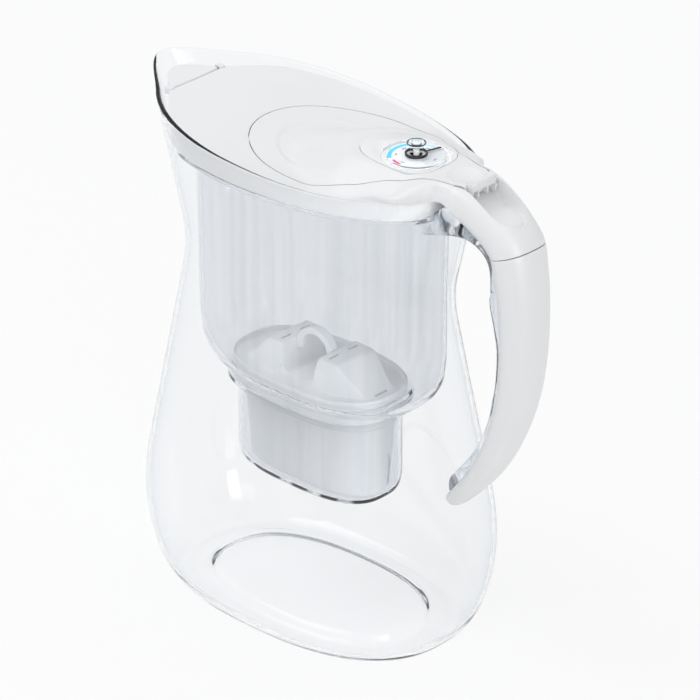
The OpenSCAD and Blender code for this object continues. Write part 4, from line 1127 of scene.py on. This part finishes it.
# painted light: the rim gets a copy of the clear finish whose edges stay light, so the rounded rim reads
# bright
clear_rim = clear("clear_rim", [
    (0.0, (0.97, 0.975, 0.985)), (0.7, (0.95, 0.96, 0.97)), (1.0, (0.82, 0.85, 0.88))], 1.1, 0.6)
clear_handle = clear("clear_handle", [
    (0.0, (0.96, 0.968, 0.978)), (0.55, (0.94, 0.953, 0.967)), (0.8, (0.76, 0.81, 0.86)),
    (0.93, (0.42, 0.49, 0.57)), (1.0, (0.22, 0.28, 0.35))], 1.32, 0.5, 0.02, 0.0001, 0.4)
clear_funnel = clear("clear_funnel", [
    (0.0, (0.905, 0.912, 0.922)), (0.5, (0.895, 0.905, 0.917)), (0.8, (0.82, 0.845, 0.87)),
    (0.93, (0.66, 0.71, 0.77)), (1.0, (0.5, 0.56, 0.62))], 1.1, 0.5, 0.02, 0.00025, 0.06)
clear_dial = clear("clear_dial", [
    (0.0, (0.98, 0.985, 0.99)), (0.7, (0.96, 0.97, 0.975)), (1.0, (0.84, 0.86, 0.88))],
    1.1, 0.6, 0.01, 0.00005)
clear_bezel = clear("clear_bezel", [
    (0.0, (0.985, 0.988, 0.99)), (0.7, (0.96, 0.965, 0.97)), (1.0, (0.80, 0.82, 0.84))],
    1.02, 0.5, 0.01, 0.00005)
# white_shell has painted shade in the gaps to the next piece; white_inner, a touch lighter, only in its own
# corners
white_shell = opaque("white_shell", (0.80, 0.803, 0.807), (0.82, 0.823, 0.827), 0.38, gap_shade=True)
white_inner = opaque("white_inner", (0.82, 0.823, 0.827), (0.84, 0.843, 0.847), 0.38)
white_cap = opaque("white_cap", (0.88, 0.882, 0.885), (0.90, 0.902, 0.905), 0.4)
grey_cup = opaque("grey_cup", (0.81, 0.813, 0.817), (0.85, 0.853, 0.857), 0.42)
black_trim = opaque("black_trim", (0.012, 0.012, 0.014), (0.02, 0.02, 0.022), 0.32)
fleece = opaque("fleece", (0.72, 0.72, 0.70), (0.85, 0.85, 0.83), 0.9, 1600, 0.0003)
granulate = opaque("granulate", (0.10, 0.09, 0.08), (0.55, 0.50, 0.42), 0.85, 1200, 0.0008)
print("finishes:", len(bpy.data.materials))

# %% [markdown]
# The dial's face is printed. Its arcs and marks are masks of radius and angle about the dial's
# axis, blended over the white one by one, so they stay sharp at any distance.


# %% Print the dial's face
BLUR_M, BLUR_RAD = 0.00012, 0.02


def polar_mask(tree, radius, angle, r_band, a_band):
    """1 inside a band of radius and of angle, both in the units of their sockets."""
    edges = []
    for source, (first, last), blur in ((radius, r_band, BLUR_M), (angle, a_band, BLUR_RAD)):
        for edge, low, high in ((first, 0, 1), (last, 1, 0)):
            edges.append(ranged(tree, source, low, high, edge - blur, edge + blur))
    mask = edges[0]
    for edge in edges[1:]:
        mask = maths(tree, "MULTIPLY", mask, edge)
    return mask


def printed_face():
    material, tree, shader = new_material("dial_print")
    where = add(tree, "TexCoord", {})["Object"]
    off_axis = [-v for v in at(DIAL_X, 0, 0)]
    split = add(tree, "SeparateXYZ", {
        "Vector": add(tree, "Mapping", {"Vector": where, "Location": off_axis})["Vector"]})
    flat = add(tree, "CombineXYZ", {"X": split["X"], "Y": split["Y"]})["Vector"]
    radius = add(tree, "VectorMath", {0: flat}, operation="LENGTH")["Value"]
    minus_x, minus_y = (maths(tree, "MULTIPLY", split[axis], -1) for axis in "XY")
    turn = maths(tree, "ARCTAN2", minus_y, minus_x)
    colour, grey, ink = (0.86, 0.87, 0.88, 1), (0.70, 0.72, 0.74), (0.03, 0.06, 0.40)
    # angles are counted from the spout's side, anticlockwise seen from above
    bands = [((6.4, 16.0), (-205, -100), grey), ((6.4, 16.0), (155, 181), grey),
             ((13.0, 15.2), (-92, -55), (0.50, 0.78, 0.88)), ((13.0, 15.2), (-55, 54), (0.03, 0.62, 0.86)),
             ((12.2, 13.8), (64, 78), (0.62, 0.04, 0.45)), ((12.2, 13.8), (76, 92), (0.80, 0.02, 0.06))]
    for middle, half in ((-83, 2.2), (-11, 2.2), (34, 1.54), (-163, 1.76), (90, 0.88)):
        for shift in (-4, 4):
            bands.append(((10.0, 11.4), (middle + shift - half, middle + shift + half), ink))
        bands.append(((10.5, 10.9), (middle - 6, middle + 6), ink))
    for r_band, a_band, tint in bands:
        mask = polar_mask(tree, radius, turn, [r * MM for r in r_band], [math.radians(a) for a in a_band])
        colour = add(tree, "Mix", {0: mask, 6: colour, 7: (*tint, 1)}, data_type="RGBA")[2]
    fill(tree, shader, {"Base Color": colour, "Roughness": 0.45,
                        "Normal": bumped(tree, noise(tree, "Object", 2500), 0.00001, 0.3)})
    return material


dial_print = printed_face()
print("bands and marks are in", len(dial_print.node_tree.nodes), "nodes")


# %% Which faces get which finish
def finish_with(material, slot_name, *objects):
    for obj in objects:
        obj.data.materials.clear()
        obj.data.materials.append(material)


def finish_some(obj, material, test):
    """Gives a second material to the faces whose middle, in the jug's millimetres, passes a test."""
    obj.data.materials.append(material)
    for face in obj.data.polygons:
        x, y, z = face.center / MM
        if test(x + MID_X, y, z, face.normal):
            face.material_index = len(obj.data.materials) - 1


def away_from_seams(x, y, z, normal):
    """True on the lid's inside and skirt, which only meet clear walls."""
    if x < -FLAP_SEAM + 6:
        return False
    near_hatch = abs(abs(y) - hatch_half_at(x, HATCH_GAP)) < 4 and z > lid_top(x, y) - 3.4
    return x < 112 and not near_hatch and z < lid_top(x, y) - 1


def inside_cover(x, y, z, normal):
    line = [station(HANDLE_LINE, SEAM_AT + k * 0.1) for k in range(110)]
    c = min(line, key=lambda p: (p[0] - x) ** 2 + (p[1] - z) ** 2)
    return normal[0] * (x - c[0]) + normal[1] * y + normal[2] * (z - c[1]) < 0


# %% Put every finish on its pieces
finish_with(clear_body, "clear_body", jug)
# the rim's faces take the lighter copy, with painted light on the rim's edge
finish_some(jug, clear_rim, lambda x, y, z, n: z > RIM_H - 1.3 + rise(x))
finish_with(clear_handle, "clear_body", core)
finish_with(clear_funnel, "clear_funnel", funnel)
finish_with(clear_bezel, "clear_dial", bezel)
finish_with(clear_dial, "clear_dial", knob, nodes["dial_disc"])
finish_with(white_shell, "white_shell", cover, deck, hatch, flap)
finish_with(white_inner, "white_shell", tray)
# faces that only meet clear walls get the finish without painted shade in the gaps
finish_some(deck, white_inner, away_from_seams)
finish_some(cover, white_inner, inside_cover)
finish_with(white_cap, "white_cap", cap)
finish_with(grey_cup, "grey_cup", cup)
finish_with(fleece, "fleece", nodes["top_fleece"], nodes["bottom_strainer"])
finish_with(granulate, "granulate", nodes["granulate"])
finish_with(dial_print, "dial_print", nodes["dial_face"])
finish_with(black_trim, "black_trim", nodes["dial_pointer"], hub, trim)
print("lid faces with the inner finish:", sum(f.material_index for f in deck.data.polygons))

# %% [markdown]
# ## Floor, light and camera
# The pitcher stands on a plain white floor in soft studio light: a broad lamp above and to the
# left, a weaker one from the right, and a tall strip that only draws highlights on the plastic.

# %% The floor
nothing_selected()
bpy.ops.mesh.primitive_plane_add(size=16, location=(0, 0, -0.0005))
floor = bpy.context.object
floor.name = "floor"
floor_finish, tree, floor_shader = new_material("floor_white")
fill(tree, floor_shader, {"Base Color": (0.9, 0.9, 0.9, 1), "Roughness": 0.9, "Specular IOR Level": 0.1})
WHITE_SHARE, floor_path = 0.8, add(tree, "LightPath", {})
seen = floor_path["Is Camera Ray"]
for ray in ("Is Transmission Ray", "Is Glossy Ray"):
    seen = maths(tree, "MAXIMUM", seen, floor_path[ray])
either(tree, maths(tree, "MULTIPLY", seen, WHITE_SHARE), floor_shader.outputs,
       add(tree, "Emission", {"Color": (1, 1, 1, 1)}), "Material Output")
floor.data.materials.append(floor_finish)
print("share of plain white in the floor as it is seen:", WHITE_SHARE)

# %% [markdown]
# A real studio is not white all round: dark gaps between the softboxes are what draws the edges
# of clear plastic. So the world has broad soft bands by direction, and only the camera's own
# rays see it plain white.

# %% The world
world = bpy.data.worlds.new("studio")
bpy.context.scene.world = world
world.use_nodes = True
tree = world.node_tree
light_sky = tree.nodes["Background"]
fill(tree, light_sky, {"Strength": 1.1, "Color": ramp_of(
    tree, noise(tree, "Generated", 1.7, (1.6, 1.6, 0.35), 1.0),
    [(0.40, (0.36, 0.38, 0.40)), (0.52, (0.66, 0.67, 0.68)), (0.60, (0.84, 0.845, 0.85))])})
seen_sky = add(tree, "Background", {"Color": (1, 1, 1, 1), "Strength": 1.0})
either(tree, add(tree, "LightPath", {})["Is Camera Ray"], light_sky.outputs, seen_sky, "World Output")
print("world nodes:", len(tree.nodes))

# %% The lamps
MIDDLE = Vector((0, 0, 0.15))
for name, place_m, size_x, watts in (
        ("key", (-0.68, -0.68, 1.75), 1.2, 11.5), ("fill", (1.2, -0.6, 0.9), 0.6, 3),
        ("strip", (1.25, -0.25, 0.4), 0.34, 7)):
    lamp = bpy.data.lights.new(name, "AREA")
    lamp.shape, lamp.size, lamp.size_y, lamp.energy = "RECTANGLE", size_x, 1.2, watts
    softbox = bpy.data.objects.new(name, lamp)
    bpy.context.scene.collection.objects.link(softbox)
    softbox.location = place_m
    softbox.rotation_mode = "QUATERNION"
    softbox.rotation_quaternion = (MIDDLE - Vector(place_m)).to_track_quat("-Z", "Y")
    softbox.visible_diffuse = name != "strip"
print("lamps:", len(bpy.data.lights))

# %% The camera
AZIMUTH, ELEVATION, DISTANCE = 0.751, 0.486, 2.618278
FOCUS_PX, FRAME_PX = 4859.116, 700
TARGET = Vector(((22.784 - MID_X) * MM, 0, 0.160084))
camera_data = bpy.data.cameras.new("camera")
camera = bpy.data.objects.new("camera", camera_data)
bpy.context.scene.collection.objects.link(camera)
back = Vector((math.sin(AZIMUTH) * math.cos(ELEVATION), -math.cos(AZIMUTH) * math.cos(ELEVATION),
               math.sin(ELEVATION)))
camera.location = TARGET + back * DISTANCE
camera.rotation_mode = "QUATERNION"
camera.rotation_quaternion = (-back).to_track_quat("-Z", "Y")
camera_data.sensor_width, camera_data.lens = 36, FOCUS_PX / FRAME_PX * 36
camera_data.clip_start, camera_data.clip_end = 0.05, 60
bpy.context.scene.camera = camera
bpy.context.scene.view_settings.view_transform = "Standard"
cycles = bpy.context.scene.cycles
cycles.max_bounces = cycles.transmission_bounces = cycles.transparent_max_bounces = 24
print("camera at", [round(v, 3) for v in camera.location])
